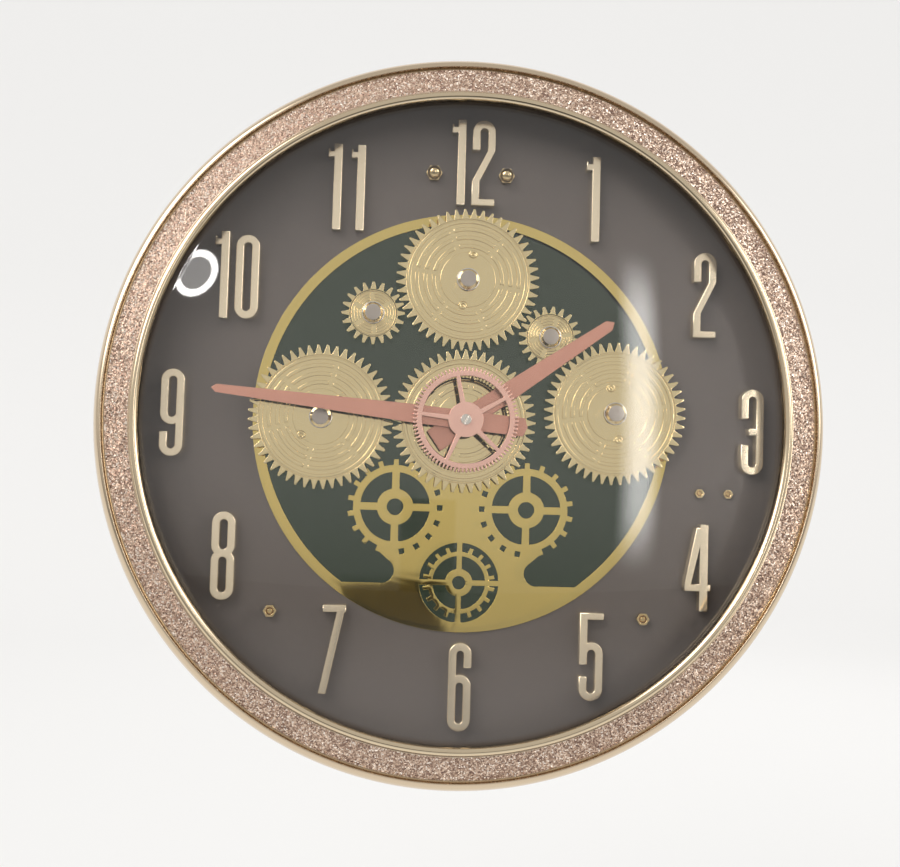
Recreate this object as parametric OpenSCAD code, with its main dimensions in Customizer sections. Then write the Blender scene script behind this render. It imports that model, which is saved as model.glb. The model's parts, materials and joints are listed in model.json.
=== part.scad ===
// Round gear wall clock: glitter bezel, domed lens, raised numerals, a train of turning gears
// behind the hands, and the movement, drive motor, speaker and batteries in the back.
// Frame: +Z up, the front faces -Y, the origin is the keyhole's entry on the wall plane.
// Inside face() the drawing plane is the dial and the third axis is the distance from the wall.

/* [Overall size] */
// Outside diameter of the clock over its bezel
overall_d = 500; // [490:1:540]
// Free depth between the rear cover and the window panel
inside_depth = 34.8; // [34:0.2:42]
// Height of the bumpers and thickness of the hanger plate, which touch the wall
wall_gap = 2; // [1.6:0.1:3]
// Thickness of the rear cover
cover_t = 3; // [2:0.1:3.4]
// Thickness of the smoked window panel
window_t = 3; // [2:0.1:4]
// Thickness of the dial sheet
dial_t = 1.2; // [0.8:0.1:2]
// Thickness of the polished skeleton plate
plate_t = 0.8; // [0.5:0.1:1.2]

/* [Bezel and lens] */
// Width of the rounded outer lip
lip_w = 9; // [7:0.1:11]
// Width of the groove between the lip and the glitter band
groove_w = 1.7; // [1:0.1:2.5]
// Width of the glitter band
glitter_w = 16.5; // [14:0.1:18]
// Thickness of the glitter band
glitter_t = 0.8; // [0.5:0.1:1]
// Width of the fine line inside the glitter band
line_w = 1.5; // [1:0.1:2.2]
// Width of the bead that holds the lens
bead_w = 5.5; // [4.6:0.1:6.5]
// Height of the bezel's widest edge over the dial
lip_low_h = 6; // [4:0.1:8]
// Height of the lip's top over the dial
lip_high_h = 25.5; // [23:0.1:28]
// Height of the glitter band's inner edge over the dial
glitter_high_h = 28; // [26.5:0.1:30]
// Height of the glitter band's outer edge over the dial
glitter_low_h = 24; // [22:0.1:26]
// Height of the bead's top over the dial
bead_top_h = 33.5; // [32:0.1:36]
// Height of the lens rim's front over the dial
lens_rim_h = 28; // [27:0.1:29]
// Rise of the lens from its rim to its middle
lens_rise = 18; // [14:0.5:24]
// Thickness of the lens
lens_t = 2.5; // [2:0.1:3]
// Wall thickness of the bezel
bezel_wall = 2.5; // [2:0.1:3]
// Wall thickness of the case body
case_wall = 2.5; // [2:0.1:3]

/* [Window and plate] */
// Width of the numeral band between the polished ring and the bead
band_w = 70.4; // [68:0.1:73]
// Width of the polished ring
ring_w = 6.9; // [6:0.1:7.5]
// Tooth tip radius of the two large cut-out wheels as a share of the ring's radius
cutout_share = 0.2256; // [0.215:0.001:0.232]
// Cut radius round the small cut-out wheel as a share of the ring's radius
small_cutout_share = 0.1891; // [0.18:0.001:0.193]

/* [Numerals] */
// Stroke of the round numerals
stroke_w = 5.5; // [5:0.1:6]
// Stem width of the numeral one
stem_w = 6; // [5:0.1:6.6]
// Outside width of a single numeral
digit_w = 16.2; // [15.6:0.1:17]
// Height of the numerals over the dial
numeral_t = 7; // [4:0.1:9]
// Space kept between the numerals and the rings inside and outside them
numeral_margin = 5.2; // [4:0.1:7]

/* [Gear train] */
// How far the top gear's teeth reach past the polished ring
train_over = 2.03; // [1:0.01:3]
// Teeth of each large gear
gear_teeth = 48; // [48]
// Teeth of each small gear
pinion_teeth = 20; // [20]
// Thickness of the show gears
gear_t = 3; // [2:0.1:4]
// Height of the show gears' backs over the dial
gear_gap = 5.7; // [4.5:0.1:7]
// Depth of the sunk face of the show gears
emboss_t = 0.6; // [0.3:0.1:1]
// Radius of the large gears' caps
cap_r = 7.9; // [6.6:0.1:8.4]
// Radius of the small gears' caps
small_cap_r = 7.7; // [6:0.1:8]
// Radius of the posts that carry the show gears
post_r = 3; // [2.5:0.1:3.4]

/* [Hands] */
// Distance of the minute hand's tip from the bead's inner edge
minute_edge = 45.6; // [42:0.1:60]
// Reach of the minute hand's tail
minute_tail = 42; // [36:0.5:44]
// Width of the minute hand at the wheel
minute_w = 12.4; // [11:0.1:14]
// Distance of the hour hand's tip from the polished ring's outer edge
hour_edge = 22.9; // [18:0.1:32]
// Reach of the hour hand's tail
hour_tail = 25.5; // [22:0.5:28]
// Width of the hour hand at its tail
hour_w = 16.6; // [14:0.1:18]
// Thickness of the hands and of the wheel in front of them
hand_t = 2; // [1.5:0.1:2.2]
// Height of the hour hand's back over the dial
hour_gap = 19; // [18:0.1:20]
// Gap between one hand and the next
hand_gap = 3.15; // [2.8:0.05:3.4]
// Tooth tip radius of the seconds wheel
wheel_r = 35.3; // [33:0.1:37]
// Turn of the minute hand from twelve at rest
minute_turn = 275.5; // [0:0.5:359.5]
// Turn of the hour hand from twelve at rest
hour_turn = 55; // [0:1:359]

/* [Hanger] */
// Height of the keyhole's entry over the middle of the case's ring
hanger_rise = 3.95; // [2:0.05:6]
// Width of the hanger plate
hanger_w = 64; // [62:0.5:70]
// Radius of the keyhole's entry
key_entry_r = 5.5; // [5:0.1:6.5]
// Width of the keyhole's slot
key_slot_w = 5.5; // [4.6:0.1:6]
// Length of the keyhole's slot from the entry's centre to the seat's centre
key_slot_len = 11; // [9:0.1:13]

/* [Power and sound] */
// Diameter of one cell
cell_d = 26.2; // [25.4:0.1:26.4]
// Length of one cell
cell_len = 50; // [49:0.1:50.5]
// Radius of the speaker's flange
speaker_r = 28.5; // [26:0.1:32]
// Radius of the volume knob
volume_r = 8; // [6:0.1:9]
// Radius of the melody button
button_r = 4.5; // [3.5:0.1:5.5]
// Travel of the melody button
button_travel = 1.2; // [0.8:0.1:1.4]

/* [Fits] */
// Radial running clearance of a shaft in its hole
run_fit = 0.05; // [0.02:0.01:0.09]
// Radial clearance of a pressed or bonded fit as drawn
press_fit = 0.02; // [0.01:0.01:0.04]
// Gap between parts that stand clear of each other
clear_gap = 0.3; // [0.2:0.05:0.4]

/* [Hidden] */
$fn = 96;

// How far a cut runs past the faces it goes through
overrun = 1;
// Colours as the photograph shows them
gold = [0.78, 0.68, 0.45];
mirror_gold = [0.82, 0.72, 0.42];
gear_gold = [0.80, 0.73, 0.53];
rose = [0.77, 0.52, 0.44];
wheel_rose = [0.85, 0.63, 0.56];
glitter_rose = [0.76, 0.63, 0.55];
dial_grey = [0.44, 0.41, 0.39];
smoke = [0.12, 0.15, 0.13, 0.75];
clear_tint = [0.85, 0.9, 0.92, 0.25];
steel = [0.62, 0.62, 0.62];
black = [0.12, 0.12, 0.13];
case_brown = [0.55, 0.46, 0.38];
copper = [0.72, 0.38, 0.2];
cell_blue = [0.2, 0.24, 0.3];
board_green = [0.1, 0.32, 0.2];

// Distances from the wall, back to front
cover_back = wall_gap;
cover_front = cover_back + cover_t;
window_back = cover_front + inside_depth;
window_front = window_back + window_t;
dial_face = window_front + dial_t;
plate_face = dial_face + plate_t;
gear_back = dial_face + gear_gap;
gear_face = gear_back + gear_t;
gear_front = gear_face + emboss_t;
hour_back = dial_face + hour_gap;
hour_face = hour_back + hand_t;
minute_back = hour_face + hand_gap;
minute_face = minute_back + hand_t;
wheel_back = minute_face + hand_gap;
wheel_face = wheel_back + hand_t;

// Radii of the bezel, outside to inside
overall_r = overall_d / 2;
lip_in_r = overall_r - lip_w;
glitter_out_r = lip_in_r - groove_w;
glitter_in_r = glitter_out_r - glitter_w;
line_in_r = glitter_in_r - line_w;
view_r = line_in_r - bead_w;
// Width of the lens rim under the bead, and of the seat in front of the bezel's inner edge
lens_lap = 3.2;
seat_w = 2;
ring_r = view_r - band_w;
lens_r = view_r + lens_lap;
dome_r = view_r - 0.25 * lens_lap;
lens_front = dial_face + lens_rim_h;
lens_back = lens_front - lens_t;
line_rise = 1.2;
groove_depth = 0.9;
skirt_back = 4.2;
skirt_taper = 1;
skirt_wall = 0.88 * bezel_wall;
skirt_rear_r = overall_r - skirt_taper;
skirt_in_r = skirt_rear_r - skirt_wall;
skirt_rear = dial_face - skirt_back;

// Case, dial and rear cover radii
flange_r = skirt_in_r - clear_gap;
flange_w = 3.4;
case_r = flange_r - flange_w;
case_in_r = case_r - case_wall;
boss_r = 4.5;
boss_bite = 0.5;
boss_ring_r = case_in_r - boss_r + boss_bite;
screw_count = 8;
screw_start = 22.5;
screw_r = 1.5;
screw_head_r = 3.2;
screw_head_t = 1.4;
screw_reach = 14;
dial_edge_gap = 0.4;
dial_r = boss_ring_r - boss_r - dial_edge_gap;
ledge_w = 6;
rib_w = 1.8;
tube_clear = 3.1;
tube_in_r = ring_r + tube_clear;
tube_wall = 3;
tube_out_r = tube_in_r + tube_wall;
window_lap = 2.5;
window_r = tube_out_r + window_lap;
window_hole_r = ring_r - 0.93 * ring_w;
body_mid_r = (tube_out_r + case_in_r) / 2;
bay_w = case_in_r - tube_out_r;
// Drop from the keyhole's entry to the clock's axis
hang_drop = body_mid_r + hanger_rise;

// Numeral band between the polished ring and the bead
numeral_h = view_r - ring_r - 2 * numeral_margin;
numeral_ring_r = (view_r + ring_r) / 2;
// Places of the numerals as shares of the band's mid radius, across and up, from one to twelve
place_shares = [
    [0.489, 0.879], [0.924, 0.521], [1.12, -0.006], [0.911, -0.534], [0.511, -0.882], [0.012, -1.005],
    [-0.472, -0.873], [-0.892, -0.533], [-1.102, 0], [-0.872, 0.53], [-0.477, 0.886], [0.017, 1.002]
];
// Widths of the digits 0 to 9 as shares of a single numeral's width
digit_w_shares = [1, 1, 1, 0.99, 1.02, 1.02, 0.98, 1.08, 1, 1];
pair_gap = 4.4;
pair_pitch = (digit_w + stem_w) / 2 + pair_gap;
ones_pitch = stem_w + 2.3 * pair_gap;
flag_w = 4;
flag_h = 4.6;
leg_share = 0.35;
hook_share = 0.283;
loop_share = 0.64;
slant_w_share = 0.86;

// Show gears: pitch, tip and root radii, centres and tooth phases
tip_rise_share = 0.27;
gear_module = (ring_r + train_over) / (1.5 * gear_teeth + tip_rise_share);
gear_pitch_r = gear_module * gear_teeth / 2;
pinion_pitch_r = gear_module * pinion_teeth / 2;
tip_rise = tip_rise_share * gear_module;
small_tip_rise = 0.68 * gear_module;
root_drop = 2.72 * gear_module;
small_root_drop = 1.78 * gear_module;
gear_tip_r = gear_pitch_r + tip_rise;
gear_root_r = gear_pitch_r - root_drop;
pinion_tip_r = pinion_pitch_r + small_tip_rise;
pinion_root_r = pinion_pitch_r - small_root_drop;
// Tooth widths at the root, half way up and at the tip, as shares of the pitch there
tooth_shares = [0.86, 0.50, 0.22];
small_tooth_shares = [0.74, 0.47, 0.26];
big_mesh = 2 * gear_pitch_r;
small_mesh = gear_pitch_r + pinion_pitch_r;
small_left_turn = 201.5;
small_right_turn = -33.3;
right_turn = -47.9;
centre_at = [0, 0];
top_at = [0, big_mesh];
left_at = [-big_mesh, 0];
small_left_at = top_at + small_mesh * [cos(small_left_turn), sin(small_left_turn)];
small_right_at = top_at + small_mesh * [cos(small_right_turn), sin(small_right_turn)];
right_at = small_right_at + small_mesh * [cos(right_turn), sin(right_turn)];
centre_phase = 0;
top_phase = mesh_phase(90, centre_phase, gear_teeth, gear_teeth);
left_phase = mesh_phase(180, centre_phase, gear_teeth, gear_teeth);
small_left_phase = mesh_phase(small_left_turn, top_phase, gear_teeth, pinion_teeth);
small_right_phase = mesh_phase(small_right_turn, top_phase, gear_teeth, pinion_teeth);
right_phase = mesh_phase(right_turn, small_right_phase, pinion_teeth, gear_teeth);
// Gear faces, as shares of the root radius: the inner disc, the rim and the groove in it, and the rings
// that stand between them, parted by six gaps
face_shares = [0.443, 0.906, 0.967];
small_face_shares = [0.5, 0.885, 0.945];
ring_shares = [0.545, 0.68, 0.814];
small_ring_shares = [0.565, 0.682, 0.798];
ring_width_share = 0.062;
small_ring_width_share = 0.065;
face_groove_w = 0.7;
face_groove_t = 0.4;
rib_count = 6;
rib_gap_w = 3;
pip_r = 2.8;
pip_hole_r = 1.1;
pip_rise = 0.5;
pip_share = 0.42;
hub_r = 8;
collar_r = 5;
collar_t = 2.2;
collar_face = dial_face + collar_t;
post_flange_r = 6;
post_flange_t = 2;
post_end = 2.3;
cap_gap = 0.35;
cap_t = 4.5;
cap_step = 1.4;
cap_side_share = 0.92;
cap_top_share = 0.71;
small_hub_share = 0.7;

// Movement and drive behind the window
mount_gap = 7.8;
mount_t = 2;
mount_front = window_back - mount_gap;
mount_back = mount_front - mount_t;
mount_r = 39.5;
spacer_r = 3;
spacer_pin_r = 1.5;
spacer_ring_r = 34;
move_w = 54;
move_top = 32;
move_low = 12;
move_depth = 16;
move_wall = 1.6;
move_cover_t = 2;
move_back = mount_back - move_depth;
move_lid_back = move_back - move_cover_t;
drive_module = 1;
drive_teeth = 36;
drive_pinion_teeth = 12;
drive_t = 3;
drive_gap = 2.6;
drive_front = window_back - drive_gap;
drive_back = drive_front - drive_t;
drive_mesh = drive_module * (drive_teeth + drive_pinion_teeth) / 2;
drive_at = [0, -drive_mesh];
drive_phase = mesh_phase(270, 0, drive_teeth, drive_pinion_teeth);
drive_bore_r = 1;
motor_r = 9.5;
motor_len = 20;
motor_nose_t = 1.5;
terminal_w = 3;
terminal_len = 3;
terminal_in = 2;
machine_shares = [0.72, 0.46, 0.24];

// Concentric tubes on the clock's axis, inside to outside
second_r = 1;
tube_t = 0.7;
minute_in_r = second_r + run_fit;
minute_out_r = minute_in_r + tube_t;
hour_in_r = minute_out_r + run_fit;
hour_out_r = hour_in_r + tube_t;
bushing_in_r = hour_out_r + run_fit;
bushing_wall = 1.45;
bushing_r = bushing_in_r + bushing_wall;
nut_af = 10.6;
nut_t = 3;
nut_gap = 0.5;
thread_end = 0.2;
bushing_end = gear_front + nut_gap + nut_t + thread_end;
hub_hole_gap = 0.35;

// Motion work: twelve to one between the minute cannon and the hour wheel
motion_module = 0.5;
cannon_teeth = 12;
motion_teeth = 36;
motion_pinion_teeth = 10;
hour_teeth = 40;
motion_mesh = motion_module * (cannon_teeth + motion_teeth) / 2;
hour_module = 2 * motion_mesh / (motion_pinion_teeth + hour_teeth);
motion_turn = 45;
knob_turn = 70;
motion_at = motion_mesh * [cos(motion_turn), sin(motion_turn)];
knob_at = motion_at + motion_mesh * [cos(knob_turn), sin(knob_turn)];
motion_phase = mesh_phase(motion_turn, 0, cannon_teeth, motion_teeth);
hour_pinion_phase = mesh_phase(motion_turn + 180, 0, motion_pinion_teeth, hour_teeth);
knob_phase = mesh_phase(knob_turn, motion_phase, motion_teeth, cannon_teeth);
work_t = 1.8;
motion_rise = 6;
hour_rise = 4;
second_rise = 2;
motion_low = move_back + motion_rise;
hour_low = motion_low + hour_rise;
second_low = move_back + second_rise;
second_gear_r = 9;
arbor_r = 1;
knob_shaft_r = 1.2;
knob_r = 7;
knob_t = 5;
knob_teeth = 16;
knob_gap = 0.6;
coil_r = 3.6;
coil_len = 0.2593 * move_w;
coil_side = 1.4;
coil_top = 11;
stator_arm_w = 3;
coil_at = [coil_len / 2 + stator_arm_w + coil_side + move_wall - move_w / 2, move_top - coil_top];
core_w = 4;
stator_t = 1.2;
stator_w = 2;
rotor_r = 3;

// Hands
minute_reach = view_r - minute_edge;
hour_reach = ring_r - hour_edge;
minute_tip_w = 5.5;
minute_point = 3.2;
hour_tip_w = 7.7;
hour_point = 4.2;
hour_collar_r = 6.5;
minute_collar_r = 5;
collar_gap = 0.6;
wheel_teeth = 82;
wheel_tooth_share = 0.925;
wheel_ring_share = 0.83;
wheel_hub_r = 11.8;
wheel_spokes = 5;
spoke_hub_w = 4;
spoke_rim_w = 2.4;
spoke_start = 30;
arbor_head_r = 2.5;
screw_shank_r = 1;
centre_screw_r = 3.6;
centre_screw_t = 1.5;
slot_w = 0.9;

// Skeleton plate cut-outs: places as shares of the ring's radius, parts as shares of each wheel
cutout_at = ring_r * [0.3129, -0.414];
cutout_tip_r = cutout_share * ring_r;
cutout_tooth_w = 0.1037 * cutout_tip_r;
cutout_spoke_w = 0.1585 * cutout_tip_r;
cutout_rim_r = 0.884 * cutout_tip_r;
cutout_window_r = 0.732 * cutout_tip_r;
cutout_hub_r = 0.384 * cutout_tip_r;
cutout_hole_r = 0.174 * cutout_tip_r;
cutout_count = 18;
small_cutout_at = ring_r * [0, -0.7655];
small_cutout_r = small_cutout_share * ring_r;
small_tip_r = 0.905 * small_cutout_r;
small_rim_r = 0.775 * small_cutout_r;
small_window_r = 0.665 * small_cutout_r;
small_hub_r = 0.345 * small_cutout_r;
small_hole_r = 0.167 * small_cutout_r;
small_spoke_w = 0.1345 * small_cutout_r;
nose_r = 0.0591 * ring_r;
nose_at = ring_r * [0.3686, -0.7166];
foot_z = -0.7744 * ring_r;
carrier_r = 0.282 * ring_r;
web_top = ring_r * [0.1788, -0.2338];
web_side = ring_r * [0.392, -0.619];

// Hanger
hanger_top = 24;
hanger_low = 34;
hanger_corner_r = 5;
stud_margin = 6.6;
stud_x = hanger_w / 2 - stud_margin;
stud_drop = 26.5;
stud_r = 3;
dome_af = 10;
dome_base_t = 4;
pocket_margin = 4;
stud_boss_r = 5;

// Dial nuts and board nuts
dial_nut_share = [0.656, -0.68];
dial_nut_at = [dial_nut_share[0] * body_mid_r, dial_nut_share[1] * body_mid_r];
dial_nut_af = 8;
dial_nut_t = 3.4;
dial_stud_r = 2.5;
board_nut_pitch = 20.3;
board_shares = [0.904, -0.23];
board_at = [board_shares[0] * body_mid_r, board_shares[1] * body_mid_r];
board_nut_af = 6;
board_nut_t = 2.4;
board_stud_r = 1.5;
board_post_r = 3;
board_w = 0.5163 * bay_w;
board_h = 0.7856 * bay_w;
board_t = 1.6;
board_drop = 16;
board_front = window_front - board_drop;
board_back = board_front - board_t;
stud_end = 0.6;
stud_sink = 0.4;
nut_sink_share = 0.72;
stud_tip_share = 0.6;

// Battery compartment and door, at the bottom of the rear cover
battery_at = [0, -body_mid_r];
spring_len = 6;
box_wall = 1.5;
cell_gap = 0.65;
box_in_w = 2 * cell_len + spring_len;
box_in_h = cell_d + 2 * cell_gap;
box_in_t = cell_d + 2 * cell_gap;
box_w = box_in_w + 2 * box_wall;
box_h = box_in_h + 2 * box_wall;
box_front = cover_front + box_in_t + box_wall;
door_t = 2;
door_sink = 0.5;
door_over = 3;
door_lap = 1;
door_back = cover_back + door_sink;
door_w = box_w + door_over;
hinge_r = 1.2;
hinge_in = cover_front + hinge_r / 2;
hinge_rise = 2.8;
hinge_z = battery_at[1] + box_h / 2 + hinge_rise;
door_low = battery_at[1] - box_h / 2 - door_lap;
ear_w = 4;
ear_r = 2.6;
arm_w = 6;
hinge_swing_gap = 5;
door_lip = 3.3;
latch_w = 12;
latch_t = 1.4;
contact_t = 0.5;
contact_w = 18;
spring_wire_r = 0.5;
button_top_r = 3.2;
terminal_t = 1.5;

// Speaker
speaker_shares = [-0.967, -0.255];
speaker_at = body_mid_r * speaker_shares;
speaker_flange_t = 1.5;
speaker_depth = 20;
speaker_cone_r = 25;
magnet_r = 14;
magnet_t = 8;
basket_t = 1.2;
cone_t = 1;
grille_pitch = 5;
grille_slot_w = 2;
grille_margin = 5;
grille_r = speaker_r - grille_margin;

// Controls
// Places on the board, measured from the middle of its nuts
button_off = bay_w * [-0.1122, 0.1571];
volume_off = bay_w * [-0.0449, -0.2245];
board_off = bay_w * [0, -0.0673];
chip_off = bay_w * [0.1122, -0.2469];
button_at = board_at + button_off;
volume_at = board_at + volume_off;
button_proud = 0.8;
button_flange_t = 1;
button_flange_over = 1.5;
button_stem_r = 2.4;
switch_w = 8;
pot_r = 9;
pot_t = 8;
knob_hole_gap = 0.4;
volume_reach = 4;
switch_rise = 6;
chip_w = 14;
chip_t = 2;

// Bumpers
bumper_r = 7;
bumper_turn = 35;
bumper_gap = 1;
bumper_ring_r = boss_ring_r - boss_r - bumper_r - bumper_gap;

// Tooth phase that puts a gear in mesh, from the direction to it and the other gear's phase
function mesh_phase(turn, phase, z_from, z_to) =
    turn + 180 - (0.5 - (turn - phase) * z_from / 360) * 360 / z_to;

// Outline of a gear: each tooth has two points at its root, half way up and at its tip
function gear_points(z, root_r, tip_r, shares, phase) = [
    for (i = [0 : z - 1], k = [0 : 5])
        let (level = k < 3 ? k : 5 - k,
             side = k < 3 ? -1 : 1,
             r = root_r + (tip_r - root_r) * level / 2,
             a = phase + 360 / z * (i + side * shares[level] / 2))
        [r * cos(a), r * sin(a)]
];

module face() {
    translate([0, 0, -hang_drop]) rotate([90, 0, 0]) children();
}

// A plate of a flat outline between two distances from the wall
module slab(low, high) {
    face() translate([0, 0, low]) linear_extrude(high - low) children();
}

// A ring turned about the clock's axis from an outline of radius and distance from the wall
module turned() {
    face() rotate_extrude($fn = 180) children();
}

module at(place) {
    translate([place[0], place[1]]) children();
}

module rod(place, r, low, high) {
    face() translate([place[0], place[1], low]) cylinder(r = r, h = high - low);
}

module tube_of(place, r_out, r_in, low, high) {
    slab(low, high) at(place) difference() {
        circle(r_out);
        circle(r_in);
    }
}

module hex_nut(place, af, bore_r, low, high) {
    slab(low, high) at(place) difference() {
        circle(r = af / sqrt(3), $fn = 6);
        circle(bore_r);
    }
}

module block(place, w, h) {
    at(place) square([w, h], center = true);
}

// Bezel section: lens seat, fine line, glitter seat, groove, rounded lip and skirt
module bezel_section() {
    lip_steps = 12;
    lip_base = dial_face + lip_low_h;
    lip_top = dial_face + lip_high_h;
    seat_out_r = lens_r + press_fit;
    glit_in = dial_face + glitter_high_h - glitter_t;
    glit_out = dial_face + glitter_low_h - glitter_t;
    polygon(concat(
        [[lens_r - seat_w, lens_back - bezel_wall],
         [lens_r - seat_w, lens_back],
         [seat_out_r, lens_back],
         [seat_out_r, lens_front],
         [line_in_r, lens_front],
         [line_in_r, dial_face + glitter_high_h + line_rise],
         [glitter_in_r, dial_face + glitter_high_h + line_rise],
         [glitter_in_r, glit_in],
         [glitter_out_r, glit_out],
         [glitter_out_r, glit_out - groove_depth],
         [lip_in_r, glit_out - groove_depth]],
        [for (i = [0 : lip_steps])
            let (a = 90 - 90 * i / lip_steps)
            [lip_in_r + lip_w * cos(a), lip_base + (lip_top - lip_base) * sin(a)]],
        [[skirt_rear_r, skirt_rear],
         [skirt_in_r, skirt_rear],
         [skirt_in_r + 0.5 * skirt_taper, lip_base],
         [lip_in_r + 0.45 * lip_w, dial_face + 0.62 * lip_high_h],
         [lip_in_r, glit_out - groove_depth - bezel_wall],
         [glitter_in_r, glit_in - bezel_wall - groove_depth],
         [glitter_in_r, lens_back - bezel_wall]]));
}

module screw_ring() {
    for (i = [0 : screw_count - 1])
        rotate(screw_start + 360 * i / screw_count) translate([boss_ring_r, 0]) children();
}

module bezel() {
    boss_top = dial_face + glitter_low_h - glitter_t - groove_depth;
    color(gold) difference() {
        union() {
            turned() bezel_section();
            turned() translate([dial_r - rib_w, dial_face])
                square([rib_w, lens_back - bezel_wall / 2 - dial_face]);
            slab(dial_face, boss_top) screw_ring() circle(r = boss_r - boss_bite, $fn = 48);
        }
        slab(dial_face - overrun, dial_face + screw_reach)
            screw_ring() circle(r = screw_r + run_fit, $fn = 48);
    }
}

module glitter_band() {
    color(glitter_rose) turned() polygon([
        [glitter_in_r + press_fit, dial_face + glitter_high_h - glitter_t],
        [glitter_out_r, dial_face + glitter_low_h - glitter_t],
        [glitter_out_r, dial_face + glitter_low_h],
        [glitter_in_r + press_fit, dial_face + glitter_high_h]]);
}

module lens_retainer() {
    bead_mid = dial_face + bead_top_h - bead_w / 2;
    color(gold) turned() union() {
        translate([view_r, lens_front]) square([bead_w - press_fit, bead_mid - lens_front]);
        translate([view_r + bead_w / 2 - press_fit / 2, bead_mid])
            circle(r = (bead_w - press_fit) / 2, $fn = 48);
    }
}

// Lens section: two arcs of the same sphere a thickness apart, and a flat rim
module lens() {
    arc_steps = 24;
    dome_sphere_r = (dome_r * dome_r + lens_rise * lens_rise) / (2 * lens_rise);
    dome_mid = lens_front + lens_rise - dome_sphere_r;
    outer = [for (i = [0 : arc_steps])
        let (r = dome_r * i / arc_steps)
        [r, dome_mid + sqrt(dome_sphere_r * dome_sphere_r - r * r)]];
    color(clear_tint) turned() polygon(concat(
        outer,
        [[lens_r, lens_front], [lens_r, lens_back]],
        [for (i = [0 : arc_steps]) outer[arc_steps - i] - [0, lens_t]]));
}

module dial() {
    color(dial_grey) slab(window_front, dial_face) difference() {
        circle(r = dial_r, $fn = 180);
        circle(r = window_hole_r, $fn = 180);
        for (s = [-1, 1]) {
            at([s * stud_x, hang_drop - stud_drop]) circle(stud_r + run_fit);
            at([s * dial_nut_at[0], dial_nut_at[1]]) circle(dial_stud_r + run_fit);
            at(board_at + [s * board_nut_pitch / 2, 0]) circle(board_stud_r + run_fit);
        }
    }
}

module teeth_ring(count, w, r_in, r_out, start, picked) {
    for (i = picked)
        rotate(start + 360 * i / count) translate([r_in, -w / 2]) square([r_out - r_in, w]);
}

// Four windows between a hub and a rim, parted by two crossing spokes
module spoke_windows(r_out, r_in, spoke_w) {
    difference() {
        circle(r_out);
        circle(r_in);
        square([2 * r_out + overrun, spoke_w], center = true);
        square([spoke_w, 2 * r_out + overrun], center = true);
    }
}

// The right half of the plate's web, from the carrier disc down to the ring
module plate_web() {
    difference() {
        polygon([
            [0, 0], web_top, cutout_at, web_side, nose_at + [0, nose_r],
            [nose_at[0], foot_z], [ring_r, foot_z], [ring_r, -ring_r], [0, -ring_r]]);
        at(nose_at) circle(nose_r);
        translate([nose_at[0], foot_z]) square([ring_r, nose_at[1] + nose_r - foot_z]);
        polygon([
            web_side, web_side + [nose_r, 0], nose_at + [nose_r, 0],
            nose_at + [-0.75 * nose_r, 0.65 * nose_r]]);
    }
}

// One large cut-out wheel, its free teeth on the window's side
module cutout_rim() {
    circle(cutout_rim_r);
    teeth_ring(cutout_count, cutout_tooth_w, cutout_rim_r - overrun, cutout_tip_r, 90, [-9 : 3]);
}

module cutout_holes() {
    gap_w = cutout_tip_r - cutout_rim_r;
    spoke_windows(cutout_window_r, cutout_hub_r, cutout_spoke_w);
    circle(cutout_hole_r);
    teeth_ring(cutout_count, gap_w, cutout_rim_r, cutout_tip_r, 160, [0 : 5]);
}

module small_cutout_holes() {
    difference() {
        circle(small_cutout_r);
        circle(small_rim_r);
        teeth_ring(cutout_count, 0.75 * cutout_tooth_w, small_rim_r - overrun, small_tip_r, 10,
                   [0 : cutout_count - 1]);
        square([2 * small_cutout_r + overrun, small_spoke_w], center = true);
        square([small_spoke_w, 2 * small_cutout_r + overrun], center = true);
    }
    spoke_windows(small_window_r, small_hub_r, small_spoke_w);
    circle(small_hole_r);
}

module skeleton_plate() {
    color(mirror_gold) slab(dial_face, plate_face) difference() {
        union() {
            difference() {
                circle(r = ring_r, $fn = 180);
                circle(r = ring_r - ring_w, $fn = 180);
            }
            circle(carrier_r);
            intersection() {
                circle(r = ring_r - ring_w / 2, $fn = 180);
                for (s = [0, 1]) mirror([s, 0]) plate_web();
            }
            for (s = [0, 1]) mirror([s, 0]) at(cutout_at) cutout_rim();
        }
        for (s = [0, 1]) mirror([s, 0]) at(cutout_at) cutout_holes();
        at(small_cutout_at) small_cutout_holes();
        circle(hub_r + 3 * hub_hole_gap);
    }
}

// Posts of the show gears: place, cap radius
gear_places = [top_at, left_at, right_at, small_left_at, small_right_at];
cap_radii = [cap_r, cap_r, cap_r, small_cap_r, small_cap_r];

module window_panel() {
    color(smoke) slab(window_back, window_front) difference() {
        circle(r = window_r, $fn = 180);
        circle(hub_r + hub_hole_gap);
        for (p = gear_places) at(p) circle(post_r + press_fit);
        for (i = [0 : 3])
            rotate(45 + 90 * i) translate([spacer_ring_r, 0]) circle(spacer_pin_r + run_fit);
    }
}

// Numerals, each drawn about its own middle, w wide
module stadium(w, h) {
    square([w, h - w], center = true);
    for (s = [-1, 1]) translate([0, s * (h - w) / 2]) circle(d = w);
}

module loop(w, h) {
    difference() {
        stadium(w, h);
        stadium(w - 2 * stroke_w, h - 2 * stroke_w);
    }
}

// Half ring of a numeral: top = 1 is an arch, top = -1 a bowl
module arch(w, top) {
    difference() {
        circle(d = w);
        circle(d = w - 2 * stroke_w);
        translate([0, -top * w / 2]) square([w + overrun, w], center = true);
    }
}

module stroke_v(x, low, high) {
    translate([x - stroke_w / 2, low]) square([stroke_w, high - low]);
}

module digit_0(w) {
    translate([0, -0.015 * numeral_h]) loop(w, 0.97 * numeral_h);
}

module digit_1() {
    square([stem_w, numeral_h], center = true);
    translate([-stem_w / 2 - flag_w, numeral_h / 2 - 2.1 * flag_h])
        square([flag_w + stem_w / 2, flag_h]);
    translate([-stem_w / 2 - flag_w, numeral_h / 2 - 2.1 * flag_h])
        square([0.35 * flag_w, 1.35 * flag_h]);
}

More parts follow.
